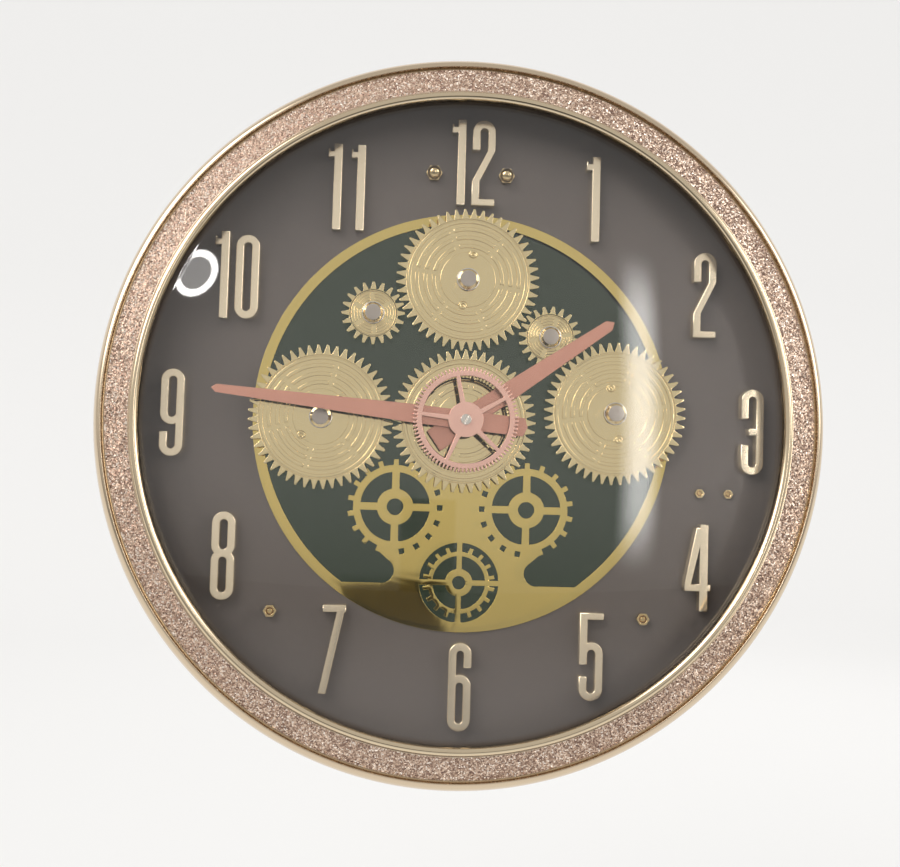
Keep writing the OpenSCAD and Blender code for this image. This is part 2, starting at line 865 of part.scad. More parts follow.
module digit_2(w) {
    r = w / 2;
    top = numeral_h / 2 - r;
    side = r - stroke_w / 2;
    knee = top - 0.22 * numeral_h;
    heel = -numeral_h / 2 + 0.28 * numeral_h;
    translate([0, top]) arch(w, 1);
    stroke_v(-side, numeral_h / 2 - leg_share * numeral_h, top);
    stroke_v(side, knee, top);
    stroke_v(-side, -numeral_h / 2, heel);
    polygon([[r, knee], [r - stroke_w, knee], [-r, heel], [-r + stroke_w, heel]]);
    translate([-r, -numeral_h / 2]) square([w, 0.85 * stroke_w]);
}

module digit_3(w) {
    r = w / 2;
    top = numeral_h / 2 - r;
    side = r - stroke_w / 2;
    hook = numeral_h / 2 - leg_share * numeral_h;
    for (s = [-1, 1]) {
        translate([0, s * top]) arch(w, s);
        stroke_v(-side, min(s * hook, s * top), max(s * hook, s * top));
    }
    stroke_v(side, -top, top);
    translate([-0.32 * r, -0.42 * stroke_w]) square([1.25 * r, 0.84 * stroke_w]);
}

module digit_4(w) {
    stem_in = 0.31 * w - stem_w / 2;
    stem_out = stem_in + stem_w;
    left = -w / 2;
    right = left + 1.11 * w;
    bar_low = -0.27 * numeral_h;
    bar_top = bar_low + 0.9 * stroke_w;
    shoulder = 0.46 * numeral_h;
    difference() {
        polygon([
            [left, bar_low], [left, bar_low + stroke_w], [stem_in - 0.45 * stem_w, shoulder],
            [stem_in, shoulder], [stem_in, numeral_h / 2], [stem_out, numeral_h / 2], [stem_out, bar_top],
            [right, bar_top], [right, bar_low], [stem_out, bar_low], [stem_out, -numeral_h / 2],
            [stem_in, -numeral_h / 2], [stem_in, bar_low]]);
        polygon([[left + 0.86 * stroke_w, bar_top], [stem_in, 0.25 * numeral_h], [stem_in, bar_top]]);
    }
}

module digit_5(w) {
    r = w / 2;
    side = r - stroke_w / 2;
    bowl_top = 0.17 * numeral_h;
    low = -numeral_h / 2 + r;
    translate([-r, numeral_h / 2 - 0.85 * stroke_w]) square([w, 0.85 * stroke_w]);
    stroke_v(-side, -0.086 * numeral_h, numeral_h / 2);
    translate([0, bowl_top - r]) intersection() {
        arch(w, 1);
        translate([-side, 0]) square([w, r]);
    }
    stroke_v(side, low, bowl_top - r);
    translate([0, low]) arch(w, -1);
    stroke_v(-side, low, low + 0.14 * numeral_h);
}

module digit_6(w) {
    r = w / 2;
    top = numeral_h / 2 - r;
    side = r - stroke_w / 2;
    loop_h = loop_share * numeral_h;
    translate([0, (loop_h - numeral_h) / 2]) loop(w, loop_h);
    translate([0, top]) arch(w, 1);
    stroke_v(-side, 0, top);
    stroke_v(side, numeral_h / 2 - hook_share * numeral_h, top);
}

module digit_7(w) {
    r = w / 2;
    bar = 0.9 * stroke_w;
    slant_w = slant_w_share * stroke_w;
    translate([0.1 * w - r, numeral_h / 2 - bar]) square([2 * r - 0.1 * w, bar]);
    polygon([
        [r, numeral_h / 2], [r - 1.15 * slant_w, numeral_h / 2],
        [-r, -numeral_h / 2], [-r + 1.15 * slant_w, -numeral_h / 2]]);
}

module digit_8(w) {
    low_h = 0.576 * numeral_h;
    high_h = numeral_h + stroke_w - low_h;
    translate([0, (low_h - numeral_h) / 2]) loop(w, low_h);
    translate([0, (numeral_h - high_h) / 2]) loop(w, high_h);
}

module digit(n) {
    w = digit_w_shares[n] * digit_w;
    if (n == 0) digit_0(w);
    if (n == 1) digit_1();
    if (n == 2) digit_2(w);
    if (n == 3) digit_3(w);
    if (n == 4) digit_4(w);
    if (n == 5) digit_5(w);
    if (n == 6) digit_6(w);
    if (n == 7) digit_7(w);
    if (n == 8) digit_8(w);
    if (n == 9) rotate(180) digit_6(w);
}

module numeral(n) {
    place = place_shares[n - 1] * numeral_ring_r;
    color(gold) slab(dial_face, dial_face + numeral_t) at(place) {
        if (n < 10) digit(n);
        if (n == 11) for (s = [-1, 1]) at([s * ones_pitch / 2 + flag_w / 2, 0]) digit(1);
        if (n == 10 || n == 12) {
            at([-pair_pitch / 2 - stem_w / 3, 0]) digit(1);
            at([pair_pitch / 2 - stem_w / 3, 0]) digit(n - 10);
        }
    }
}

// Threaded studs and the nuts on the dial
module dome_nuts() {
    for (s = [-1, 1]) {
        place = [s * stud_x, hang_drop - stud_drop];
        nut_top = dial_face + dome_base_t;
        color(steel) rod(place, stud_r, 0, nut_top);
        color(gold) difference() {
            union() {
                hex_nut(place, dome_af, stud_r / 2, dial_face, nut_top);
                face() translate([place[0], place[1], nut_top]) rotate_extrude($fn = 48) intersection() {
                    circle(d = 0.97 * dome_af);
                    square(dome_af / 2);
                }
            }
            rod(place, stud_r + run_fit, window_back, nut_top + run_fit);
        }
    }
}

// A hex nut on the dial with a countersunk face, and its stud, whose chamfered end lies just below that face
module sunk_nut(place, af, r, nut_height, stud_low) {
    nut_face = dial_face + nut_height;
    sink_r = nut_sink_share * af / 2;
    sink_t = sink_r - r - run_fit;
    tip_r = stud_tip_share * r;
    tip_t = r - tip_r;
    stud_high = nut_face - stud_sink - tip_t;
    color(steel) union() {
        rod(place, r, stud_low, stud_high);
        face() translate([place[0], place[1], stud_high]) cylinder(h = tip_t, r1 = r, r2 = tip_r, $fn = 48);
    }
    color(gold) difference() {
        hex_nut(place, af, r + run_fit, dial_face, nut_face);
        face() translate([place[0], place[1], nut_face - sink_t])
            cylinder(h = sink_t + overrun, r1 = sink_r - sink_t, r2 = sink_r + overrun, $fn = 48);
    }
}

// The two nuts low on the dial, and the smaller two whose studs carry the board
module hex_nuts() {
    for (s = [-1, 1]) {
        place = board_at + [s * board_nut_pitch / 2, 0];
        sunk_nut([s * dial_nut_at[0], dial_nut_at[1]], dial_nut_af, dial_stud_r, dial_nut_t, cover_front);
        sunk_nut(place, board_nut_af, board_stud_r, board_nut_t, board_back - board_nut_t - stud_end);
        color(steel) tube_of(place, board_post_r, board_stud_r + run_fit, board_front, window_front);
        color(steel) hex_nut(place, board_nut_af, board_stud_r + run_fit,
                             board_back - board_nut_t, board_back);
    }
}

// Gear posts: a flange behind the window, a collar in front of it and the shaft that the gear runs on
module gear_posts() {
    color(steel) for (p = gear_places) union() {
        rod(p, post_flange_r, window_back - post_flange_t, window_back);
        rod(p, post_r, window_back - post_flange_t, gear_face + post_end);
        rod(p, collar_r, window_front, collar_face);
    }
}

module gear_caps() {
    cap_low = gear_front + cap_gap;
    for (i = [0 : len(gear_places) - 1]) {
        place = gear_places[i];
        r = cap_radii[i];
        color(steel) difference() {
            face() translate([place[0], place[1], cap_low]) rotate_extrude($fn = 64) polygon([
                [0, 0], [r, 0], [r, cap_step], [cap_side_share * r, cap_step],
                [cap_top_share * r, cap_t], [0, cap_t]]);
            rod(place, post_r + press_fit, cap_low - overrun, gear_face + post_end + press_fit);
        }
    }
}

// One show gear: toothed plate with a hub behind it. Its face is sunk between the inner disc and the rim,
// but for rings parted by gaps, and a fine groove runs in the rim
module show_gear(place, z, root_r, tip_r, shares, faces, rings, ring_width, phase, bore_r, hub_low, hub,
                 turn) {
    color(gear_gold) difference() {
        union() {
            slab(gear_back, gear_front) at(place) polygon(gear_points(z, root_r, tip_r, shares, phase));
            rod(place, hub, hub_low, gear_front);
        }
        slab(gear_face, gear_front + overrun) at(place) difference() {
            circle(faces[1] * root_r);
            circle(faces[0] * root_r);
            difference() {
                for (s = rings) difference() {
                    circle(s * root_r + ring_width / 2);
                    circle(s * root_r - ring_width / 2);
                }
                for (i = [0 : rib_count / 2 - 1])
                    rotate(turn + 360 * i / rib_count) square([2 * root_r, rib_gap_w], center = true);
            }
        }
        slab(gear_front - face_groove_t, gear_front + overrun) at(place) difference() {
            circle(faces[2] * root_r + face_groove_w / 2);
            circle(faces[2] * root_r - face_groove_w / 2);
        }
        rod(place, bore_r, hub_low - overrun, gear_front + overrun);
    }
}

// A large gear, with two round pips on the edge of its inner disc
module large_gear(place, phase, turn, bore_r, hub_low) {
    union() {
        show_gear(place, gear_teeth, gear_root_r, gear_tip_r, tooth_shares, face_shares, ring_shares,
                  ring_width_share * gear_root_r, phase, bore_r, hub_low, hub_r, turn);
        for (s = [0, 180])
            color(gear_gold) slab(gear_face, gear_front + pip_rise) at(place) rotate(turn + s + 30)
                translate([pip_share * gear_root_r, 0]) difference() {
                    circle(pip_r);
                    circle(pip_hole_r);
                }
    }
}

module small_gear(place, phase, turn) {
    show_gear(place, pinion_teeth, pinion_root_r, pinion_tip_r, small_tooth_shares, small_face_shares,
              small_ring_shares, small_ring_width_share * pinion_root_r, phase, post_r + run_fit,
              collar_face + clear_gap, small_hub_share * hub_r, turn);
}

module centre_gear() {
    large_gear(centre_at, centre_phase, 20, bushing_r + run_fit, drive_front);
}

module top_gear() {
    large_gear(top_at, top_phase, 50, post_r + run_fit, collar_face + clear_gap);
}

module left_gear() {
    large_gear(left_at, left_phase, 15, post_r + run_fit, collar_face + clear_gap);
}

module right_gear() {
    large_gear(right_at, right_phase, 70, post_r + run_fit, collar_face + clear_gap);
}

module small_left_gear() {
    small_gear(small_left_at, small_left_phase, 35);
}

module small_right_gear() {
    small_gear(small_right_at, small_right_phase, 10);
}

// A machined gear wheel with straight-sided teeth
module machine_gear(place, z, pitch, phase, low, high, bore_r) {
    slab(low, high) at(place) difference() {
        polygon(gear_points(z, pitch * (z / 2 - 1.15), pitch * (z / 2 + 0.8), machine_shares, phase));
        circle(bore_r);
    }
}

module drive_gear() {
    color(black)
        machine_gear(centre_at, drive_teeth, drive_module, 0, drive_back, drive_front, bushing_r + run_fit);
}

module drive_pinion() {
    color(steel) union() {
        machine_gear(drive_at, drive_pinion_teeth, drive_module, drive_phase, drive_back, drive_front,
                     drive_bore_r / 2);
        rod(drive_at, drive_bore_r, mount_back - motor_len / 2, drive_front);
    }
}

module drive_motor() {
    color(steel) difference() {
        union() {
            rod(drive_at, motor_r, mount_back - motor_len, mount_back);
            rod(drive_at, motor_r / 2, mount_back - motor_len - motor_nose_t, mount_back);
        }
        rod(drive_at, drive_bore_r + run_fit, mount_back - motor_len / 2 - overrun, mount_back + overrun);
    }
    color(black) slab(mount_back - motor_len - terminal_len, mount_back - motor_len) for (s = [-1, 1])
        block(drive_at + [s * (motor_r - terminal_in), 0], terminal_w / 2, terminal_w);
}

// Round plate with four spacers that pin into the window panel
module movement_plate() {
    color(steel) difference() {
        union() {
            slab(mount_back, mount_front) circle(mount_r);
            slab(mount_front, window_back)
                for (i = [0 : 3]) rotate(45 + 90 * i) translate([spacer_ring_r, 0]) circle(spacer_r);
            slab(mount_front, window_front)
                for (i = [0 : 3]) rotate(45 + 90 * i) translate([spacer_ring_r, 0]) circle(spacer_pin_r);
        }
        rod(centre_at, bushing_r + run_fit, mount_back - overrun, mount_front + overrun);
        rod(drive_at, drive_bore_r + clear_gap, mount_back - overrun, mount_front + overrun);
    }
}

module movement_outline(inset) {
    translate([-move_w / 2 + inset, -move_low + inset])
        square([move_w - 2 * inset, move_low + move_top - 2 * inset]);
}

module movement_case() {
    color(black) difference() {
        union() {
            slab(move_back, mount_back) difference() {
                movement_outline(0);
                translate(drive_at) circle(motor_r + 2 * clear_gap);
            }
            rod(centre_at, bushing_r, mount_back - move_wall, bushing_end);
        }
        slab(move_back - overrun, mount_back - move_wall) difference() {
            movement_outline(move_wall);
            translate(drive_at) circle(motor_r + 2 * clear_gap + move_wall);
        }
        rod(centre_at, bushing_in_r, move_back, bushing_end + overrun);
        rod(motion_at, arbor_r + run_fit, mount_back - move_wall - overrun, mount_back - move_wall / 2);
        rod(knob_at, knob_shaft_r + run_fit, mount_back - move_wall - overrun, mount_back - move_wall / 2);
    }
}

module movement_cover() {
    color(black) difference() {
        slab(move_lid_back, move_back) difference() {
            movement_outline(0);
            translate(drive_at) circle(motor_r + 2 * clear_gap);
        }
        rod(centre_at, second_r + run_fit, move_back - move_cover_t / 2, move_back + overrun);
        rod(motion_at, arbor_r + run_fit, move_back - move_cover_t / 2, move_back + overrun);
        rod(knob_at, knob_shaft_r + run_fit, move_lid_back - overrun, move_back + overrun);
    }
}

// Step motor of the time movement: a coil wound on a core, whose arms end in a ring round the rotor
module step_motor() {
    arm_w = stator_arm_w;
    arm_x = coil_len / 2 + arm_w / 2;
    rotor_at = coil_at + [coil_r, -3 * coil_r];
    core_low = second_low + coil_r - stator_t / 2;
    color(copper) union() {
        face() translate([coil_at[0] - coil_len / 2, coil_at[1], second_low + coil_r])
            rotate([0, 90, 0]) cylinder(r = coil_r, h = coil_len);
        slab(core_low, core_low + stator_t) difference() {
            union() {
                block(coil_at, coil_len + 2 * arm_w, core_w);
                for (s = [-1, 1])
                    block([coil_at[0] + s * arm_x, (coil_at[1] + rotor_at[1]) / 2],
                          arm_w, coil_at[1] - rotor_at[1] + arm_w);
                block([coil_at[0], rotor_at[1]], coil_len + 2 * arm_w, arm_w);
                at(rotor_at) circle(rotor_r + stator_w);
            }
            at(rotor_at) circle(rotor_r + clear_gap);
        }
        for (s = [-1, 1]) rod(coil_at + [s * arm_x, 0], 0.4 * arm_w, move_back, core_low + stator_t / 2);
    }
}

module centre_nut() {
    low = gear_front + nut_gap;
    color(steel) hex_nut(centre_at, nut_af, bushing_r + run_fit, low, low + nut_t);
}

// Case body section: side wall, ledge under the dial and the flange that the bezel sits on
module case_body() {
    color(case_brown) difference() {
        union() {
            turned() polygon([
                [dial_r - ledge_w, window_back], [dial_r - ledge_w, window_front],
                [dial_r + press_fit, window_front], [dial_r + press_fit, dial_face],
                [flange_r, dial_face], [flange_r, skirt_rear], [case_r, skirt_rear - flange_w],
                [case_r, cover_front], [case_in_r, cover_front], [case_in_r, window_back]]);
            slab(cover_front, window_back) screw_ring() circle(r = boss_r, $fn = 48);
        }
        slab(cover_front - overrun, dial_face + overrun)
            screw_ring() circle(r = screw_r + run_fit, $fn = 48);
    }
}

// Keyhole outline about the entry's centre: round entry and the slot above it
module keyhole() {
    circle(key_entry_r);
    translate([-key_slot_w / 2, 0]) square([key_slot_w, key_slot_len]);
    translate([0, key_slot_len]) circle(d = key_slot_w);
}

module rear_cover() {
    pocket_w = 2 * (key_entry_r + pocket_margin);
    door_open_low = door_low - clear_gap;
    door_open_high = hinge_z + hinge_swing_gap;
    color(black) difference() {
        union() {
            slab(cover_back, cover_front) difference() {
                circle(r = case_r, $fn = 180);
                circle(r = tube_in_r, $fn = 180);
            }
            for (s = [-1, 1]) battery_ear(s);
        }
        slab(cover_back - overrun, cover_front + overrun) {
            screw_ring() circle(r = screw_r + run_fit, $fn = 48);
            at([0, hang_drop]) translate([-pocket_w / 2, -key_entry_r - pocket_margin])
                square([pocket_w, 2 * pocket_margin + key_entry_r + key_slot_len + key_slot_w / 2]);
            translate([-door_w / 2 - clear_gap, door_open_low])
                square([door_w + 2 * clear_gap, door_open_high - door_open_low]);
            at(button_at) circle(button_r + clear_gap);
            at(volume_at) circle(volume_r + knob_hole_gap);
            at(speaker_at) grille_slots();
            for (s = [-1, 1]) at([s * stud_x, hang_drop - stud_drop]) circle(stud_r + run_fit);
        }
        face() translate([-door_w / 2 - ear_w - 2 * clear_gap, hinge_z, hinge_in]) rotate([0, 90, 0])
            cylinder(r = hinge_r + run_fit, h = door_w + 2 * ear_w + 4 * clear_gap);
    }
}

// What stands on the rear cover: the wall of the room round the movement, and the hollow posts that hold the
// dial off the cover, round the studs of its nuts
module cover_walls() {
    color(black) slab(cover_front, window_back) difference() {
        circle(r = tube_out_r, $fn = 180);
        circle(r = tube_in_r, $fn = 180);
    }
    color(black) for (s = [-1, 1]) {
        tube_of([s * stud_x, hang_drop - stud_drop], stud_boss_r, stud_r + run_fit,
                cover_front, window_front);
        tube_of([s * dial_nut_at[0], dial_nut_at[1]], stud_boss_r, dial_stud_r + run_fit,
                cover_front, window_front);
    }
}

// Ear that carries one end of the battery door's hinge pin
module battery_ear(side) {
    ear_low = cover_front;
    ear_high = hinge_in + ear_r;
    ear_x = side * (door_w / 2 + clear_gap + ear_w / 2 + clear_gap);
    slab(ear_low, ear_high) block([ear_x, hinge_z], ear_w + 2 * clear_gap, 2 * ear_r);
}

// Rows of slots in front of the speaker
module grille_slots() {
    rows = floor(grille_r / grille_pitch);
    for (i = [-rows : rows]) {
        y = i * grille_pitch;
        half = sqrt(grille_r * grille_r - y * y);
        if (half > grille_pitch) translate([0, y]) square([2 * half, grille_slot_w], center = true);
    }
}

module rear_screws() {
    color(steel) union() {
        slab(cover_back - screw_head_t, cover_back) screw_ring() circle(r = screw_head_r, $fn = 48);
        slab(cover_back, dial_face + screw_reach - overrun) screw_ring() circle(r = screw_r, $fn = 48);
    }
}

module hanger_plate() {
    w = hanger_w - 2 * hanger_corner_r;
    color(steel) slab(0, cover_back) at([0, hang_drop]) difference() {
        union() {
            translate([-w / 2, -hanger_low]) square([w, hanger_low + hanger_top]);
            translate([-hanger_w / 2, -hanger_low + hanger_corner_r])
                square([hanger_w, hanger_low + hanger_top - 2 * hanger_corner_r]);
            for (x = [-1, 1], z = [-hanger_low + hanger_corner_r, hanger_top - hanger_corner_r])
                translate([x * w / 2, z]) circle(hanger_corner_r);
        }
        keyhole();
        for (s = [-1, 1]) translate([s * stud_x, -stud_drop]) circle(stud_r + press_fit);
    }
}

module bumpers() {
    color(black) slab(0, cover_back) for (s = [-1, 1])
        rotate(-90 + s * bumper_turn) translate([bumper_ring_r, 0]) circle(bumper_r);
}

module battery_case() {
    color(black) difference() {
        slab(cover_front, box_front) block(battery_at, box_w, box_h);
        slab(cover_front - overrun, box_front - box_wall) block(battery_at, box_in_w, box_in_h);
    }
}

module batteries() {
    cell_mid = cover_front + box_in_t / 2;
    for (s = [0, 1]) {
        x = -box_in_w / 2 + contact_t + s * cell_len + clear_gap;
        color(cell_blue) face() translate([x, battery_at[1], cell_mid]) rotate([0, 90, 0]) union() {
            cylinder(r = button_top_r, h = cell_len - clear_gap);
            translate([0, 0, terminal_t]) cylinder(r = cell_d / 2, h = cell_len - terminal_t - clear_gap);
        }
    }
}

// Flat contact at one end and a coiled spring contact at the other
module battery_contacts() {
    mid = cover_front + box_in_t / 2;
    coils = 4;
    spring_run = spring_len - 2 * contact_t - 3 * clear_gap;
    color(steel) {
        for (x = [-box_in_w / 2, box_in_w / 2 - contact_t])
            slab(mid - contact_w / 2, mid + contact_w / 2)
                translate([x, battery_at[1] - contact_w / 2]) square([contact_t, contact_w]);
        for (i = [0 : coils - 1])
            face()
                translate([box_in_w / 2 - contact_t - spring_wire_r - spring_run * i / coils,
                           battery_at[1], mid])
                rotate([0, 90, 0]) rotate_extrude($fn = 32)
                    translate([(1 - 0.12 * i) * contact_w / 2.4, 0]) circle(r = spring_wire_r, $fn = 16);
    }
}

module battery_door() {
    arm_x = door_w / 2 - arm_w / 2 - clear_gap;
    color(black) union() {
        slab(door_back, door_back + door_t) translate([-door_w / 2, door_low])
            square([door_w, hinge_z + door_lip - door_low]);
        slab(door_back, hinge_in) for (s = [-1, 1])
            block([s * arm_x, hinge_z], arm_w, 2 * hinge_r);
        face() translate([-door_w / 2 - ear_w, hinge_z, hinge_in]) rotate([0, 90, 0])
            cylinder(r = hinge_r, h = door_w + 2 * ear_w);
        slab(door_back - latch_t / 4, door_back) block([0, door_low + latch_t * 2], latch_w, latch_t);
    }
}

module speaker() {
    flange_front = cover_front + speaker_flange_t;
    basket_front = cover_front + speaker_depth;
    color(black) slab(cover_front, flange_front) at(speaker_at) difference() {
        circle(speaker_r);
        circle(speaker_cone_r);
    }
    color(steel) face() translate([speaker_at[0], speaker_at[1], 0]) rotate_extrude() polygon([
        [speaker_cone_r, flange_front], [speaker_cone_r + basket_t, flange_front],
        [magnet_r, basket_front - magnet_t], [magnet_r, basket_front],
        [0, basket_front], [0, basket_front - magnet_t - basket_t],
        [magnet_r - basket_t, basket_front - magnet_t - basket_t]]);
    color(dial_grey) face() translate([speaker_at[0], speaker_at[1], 0]) rotate_extrude() polygon([
        [speaker_cone_r, cover_front], [speaker_cone_r, flange_front],
        [magnet_r / 2, basket_front - magnet_t - 3 * basket_t],
        [0, basket_front - magnet_t - 3 * basket_t], [0, basket_front - magnet_t - 4 * basket_t],
        [magnet_r / 2, basket_front - magnet_t - 4 * basket_t], [speaker_cone_r - cone_t, cover_front]]);
}

module control_board() {
    switch_low = cover_front + button_flange_t + 2 * button_travel + switch_rise;
    pot_low = board_back - pot_t;
    color(board_green) slab(board_back, board_front) difference() {
        block(board_at + board_off, board_w, board_h);
        for (s = [-1, 1]) at(board_at + [s * board_nut_pitch / 2, 0]) circle(board_stud_r + run_fit);
    }
    color(black) {
        slab(switch_low, board_back) block(button_at, switch_w, switch_w);
        slab(board_back - chip_t, board_back) block(board_at + chip_off, chip_w, chip_w);
    }
    color(steel) difference() {
        rod(volume_at, pot_r, pot_low, board_back);
        rod(volume_at, post_r + run_fit, pot_low - overrun, pot_low + pot_t / 2 + run_fit);
    }
}

module melody_button() {
    flange_low = cover_front + clear_gap;
    switch_low = cover_front + button_flange_t + 2 * button_travel + switch_rise;
    color(rose) union() {
        rod(button_at, button_r, cover_back - button_proud, flange_low);
        rod(button_at, button_r + button_flange_over, flange_low, flange_low + button_flange_t);
        rod(button_at, button_stem_r, flange_low, switch_low - button_travel - clear_gap);
    }
}

module volume_knob() {
    knob_front = cover_front + volume_reach;
    pot_low = board_back - pot_t;
    color(black) difference() {
        union() {
            rod(volume_at, volume_r, cover_back - button_proud, knob_front);
            rod(volume_at, post_r, knob_front, pot_low + pot_t / 2);
        }
        slab(cover_back - button_proud - overrun, cover_back - button_proud + slot_w)
            block(volume_at, 1.2 * volume_r, slot_w);
    }
}

module time_set_knob() {
    knob_front = move_lid_back - knob_gap;
    color(black) union() {
        rod(knob_at, knob_shaft_r, knob_front, mount_back - move_wall);
        slab(knob_front - knob_t, knob_front) at(knob_at)
            polygon(gear_points(knob_teeth, 0.9 * knob_r, knob_r, small_tooth_shares, 0));
        machine_gear(knob_at, cannon_teeth, motion_module, knob_phase, motion_low, motion_low + work_t,
                     knob_shaft_r / 2);
    }
}

module motion_wheel() {
    color(gold) union() {
        rod(motion_at, arbor_r, move_back - move_cover_t / 2 + run_fit,
            mount_back - move_wall / 2 - run_fit);
        machine_gear(motion_at, motion_teeth, motion_module, motion_phase, motion_low, motion_low + work_t,
                     arbor_r / 2);
        machine_gear(motion_at, motion_pinion_teeth, hour_module, 0, motion_low, hour_low + work_t,
                     arbor_r / 2);
    }
}

module hour_wheel() {
    color(gold) difference() {
        union() {
            machine_gear(centre_at, hour_teeth, hour_module, hour_pinion_phase, hour_low, hour_low + work_t,
                         hour_in_r);
            rod(centre_at, hour_out_r, hour_low, hour_face + collar_gap);
        }
        rod(centre_at, hour_in_r, hour_low - overrun, hour_face + collar_gap + overrun);
    }
}

module minute_cannon() {
    color(gold) difference() {
        union() {
            machine_gear(centre_at, cannon_teeth, motion_module, 0, motion_low, motion_low + work_t,
                         minute_in_r);
            rod(centre_at, minute_out_r, motion_low, minute_face + collar_gap);
        }
        rod(centre_at, minute_in_r, motion_low - overrun, minute_face + collar_gap + overrun);
    }
}

module second_arbor() {
    head_low = minute_face + 2 * collar_gap;
    color(steel) difference() {
        union() {
            rod(centre_at, second_r, move_back - move_cover_t / 2 + run_fit, head_low);
            rod(centre_at, second_gear_r, second_low, second_low + work_t / 2);
            rod(centre_at, arbor_head_r, head_low, wheel_face);
        }
        rod(centre_at, screw_shank_r + press_fit, head_low + collar_gap, wheel_face + overrun);
    }
}

// Hour hand: broad blade that tapers from a square tail to a short point
module hour_hand() {
    color(rose) difference() {
        union() {
            slab(hour_back, hour_face) rotate(90 - hour_turn) polygon([
                [-hour_tail, -hour_w / 2], [-hour_tail, hour_w / 2],
                [hour_reach - hour_point, hour_tip_w / 2], [hour_reach, 0],
                [hour_reach - hour_point, -hour_tip_w / 2]]);
            rod(centre_at, hour_collar_r, bushing_end + collar_gap, hour_back);
        }
        rod(centre_at, hour_out_r + press_fit, bushing_end, hour_face + overrun);
    }
}

// Minute hand: long tapering blade with a short point at its tip and a flat one at its tail
module minute_hand() {
    color(rose) difference() {
        union() {
            slab(minute_back, minute_face) rotate(90 - minute_turn) polygon([
                [-minute_tail, 0], [-minute_tail + 0.2 * minute_w, minute_w / 2], [wheel_r, minute_w / 2],
                [minute_reach - minute_point, minute_tip_w / 2], [minute_reach, 0],
                [minute_reach - minute_point, -minute_tip_w / 2], [wheel_r, -minute_w / 2],
                [-minute_tail + 0.2 * minute_w, -minute_w / 2]]);
            rod(centre_at, minute_collar_r, hour_face + 2 * collar_gap, minute_back);
        }
        rod(centre_at, minute_out_r + press_fit, hour_face, minute_face + overrun);
    }
}

module second_wheel() {
    tooth_root = wheel_tooth_share * wheel_r;
    ring_in = wheel_ring_share * wheel_r;
    color(wheel_rose) slab(wheel_back, wheel_face) difference() {
        union() {
            difference() {
                polygon(gear_points(wheel_teeth, tooth_root, wheel_r, [0.6, 0.5, 0.4], 0));
                circle(ring_in);
            }
            circle(wheel_hub_r);
            for (i = [0 : wheel_spokes - 1]) rotate(spoke_start + 360 * i / wheel_spokes) polygon([
                [0, -spoke_hub_w / 2], [ring_in + overrun, -spoke_rim_w / 2],
                [ring_in + overrun, spoke_rim_w / 2], [0, spoke_hub_w / 2]]);
        }
        circle(arbor_head_r + press_fit);
    }
}

module centre_screw() {
    head_top = wheel_face + centre_screw_t;
    color(steel) difference() {
        union() {
            rod(centre_at, centre_screw_r, wheel_face, head_top);
            rod(centre_at, screw_shank_r, minute_face + 4 * collar_gap, wheel_face);
        }
        slab(head_top - centre_screw_t / 2, head_top + overrun) rotate(60)
            square([3 * centre_screw_r, slot_w], center = true);
    }
}

bezel();
glitter_band();
lens_retainer();
lens();
dial();
skeleton_plate();
window_panel();
numeral(1);  // numeral_1
numeral(2);  // numeral_2
numeral(3);  // numeral_3
numeral(4);  // numeral_4
numeral(5);  // numeral_5
numeral(6);  // numeral_6
numeral(7);  // numeral_7
numeral(8);  // numeral_8
numeral(9);  // numeral_9
numeral(10);  // numeral_10
numeral(11);  // numeral_11
numeral(12);  // numeral_12
dome_nuts();
hex_nuts();
gear_posts();
gear_caps();
movement_plate();
drive_motor();
movement_case();
movement_cover();
step_motor();
centre_nut();
case_body();
rear_cover();
cover_walls();
hanger_plate();
battery_case();
batteries();
battery_contacts();
speaker();
control_board();
rear_screws();
bumpers();
centre_gear();
drive_gear();
top_gear();
left_gear();
right_gear();
small_left_gear();
small_right_gear();
drive_pinion();
hour_hand();
hour_wheel();
minute_hand();
minute_cannon();
second_wheel();
second_arbor();
centre_screw();
motion_wheel();
time_set_knob();
battery_door();
melody_button();
volume_knob();
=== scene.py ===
"""Looks of a round gear wall clock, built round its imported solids."""
import json
import math
from contextlib import contextmanager

import bmesh
import bpy
import numpy as np
from mathutils import Matrix, Vector
from mathutils.geometry import delaunay_2d_cdt


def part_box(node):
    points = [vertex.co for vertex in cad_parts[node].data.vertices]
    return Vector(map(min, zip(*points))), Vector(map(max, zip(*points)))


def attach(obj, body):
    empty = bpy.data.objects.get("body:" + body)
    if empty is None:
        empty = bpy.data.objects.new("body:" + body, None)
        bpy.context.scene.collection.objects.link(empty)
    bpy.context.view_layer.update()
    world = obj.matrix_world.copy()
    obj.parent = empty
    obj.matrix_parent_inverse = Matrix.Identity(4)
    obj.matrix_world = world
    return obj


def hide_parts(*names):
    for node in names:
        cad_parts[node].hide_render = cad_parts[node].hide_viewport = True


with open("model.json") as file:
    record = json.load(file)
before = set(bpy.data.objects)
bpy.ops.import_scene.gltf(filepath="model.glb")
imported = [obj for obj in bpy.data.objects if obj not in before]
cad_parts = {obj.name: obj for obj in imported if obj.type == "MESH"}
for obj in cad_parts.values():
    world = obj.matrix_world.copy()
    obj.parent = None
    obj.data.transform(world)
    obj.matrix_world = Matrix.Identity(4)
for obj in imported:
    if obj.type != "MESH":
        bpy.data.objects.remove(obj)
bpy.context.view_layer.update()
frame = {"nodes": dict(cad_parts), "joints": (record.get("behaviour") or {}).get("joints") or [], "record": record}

MM = 0.001
TURN = 2 * math.pi
# Distance under which two points are one, in mm
WELD = 0.002
# Edges that bend by more are rounded, and faces that bend by less are one plane
EDGE_ANGLE, PLANE_ANGLE = math.radians(28), math.radians(1)
# Weight of large faces in a corner's normal, from 1 to 100
FACE_WEIGHT = 80
# Columns of a ring that goes round the whole clock
RING_COLUMNS = 512
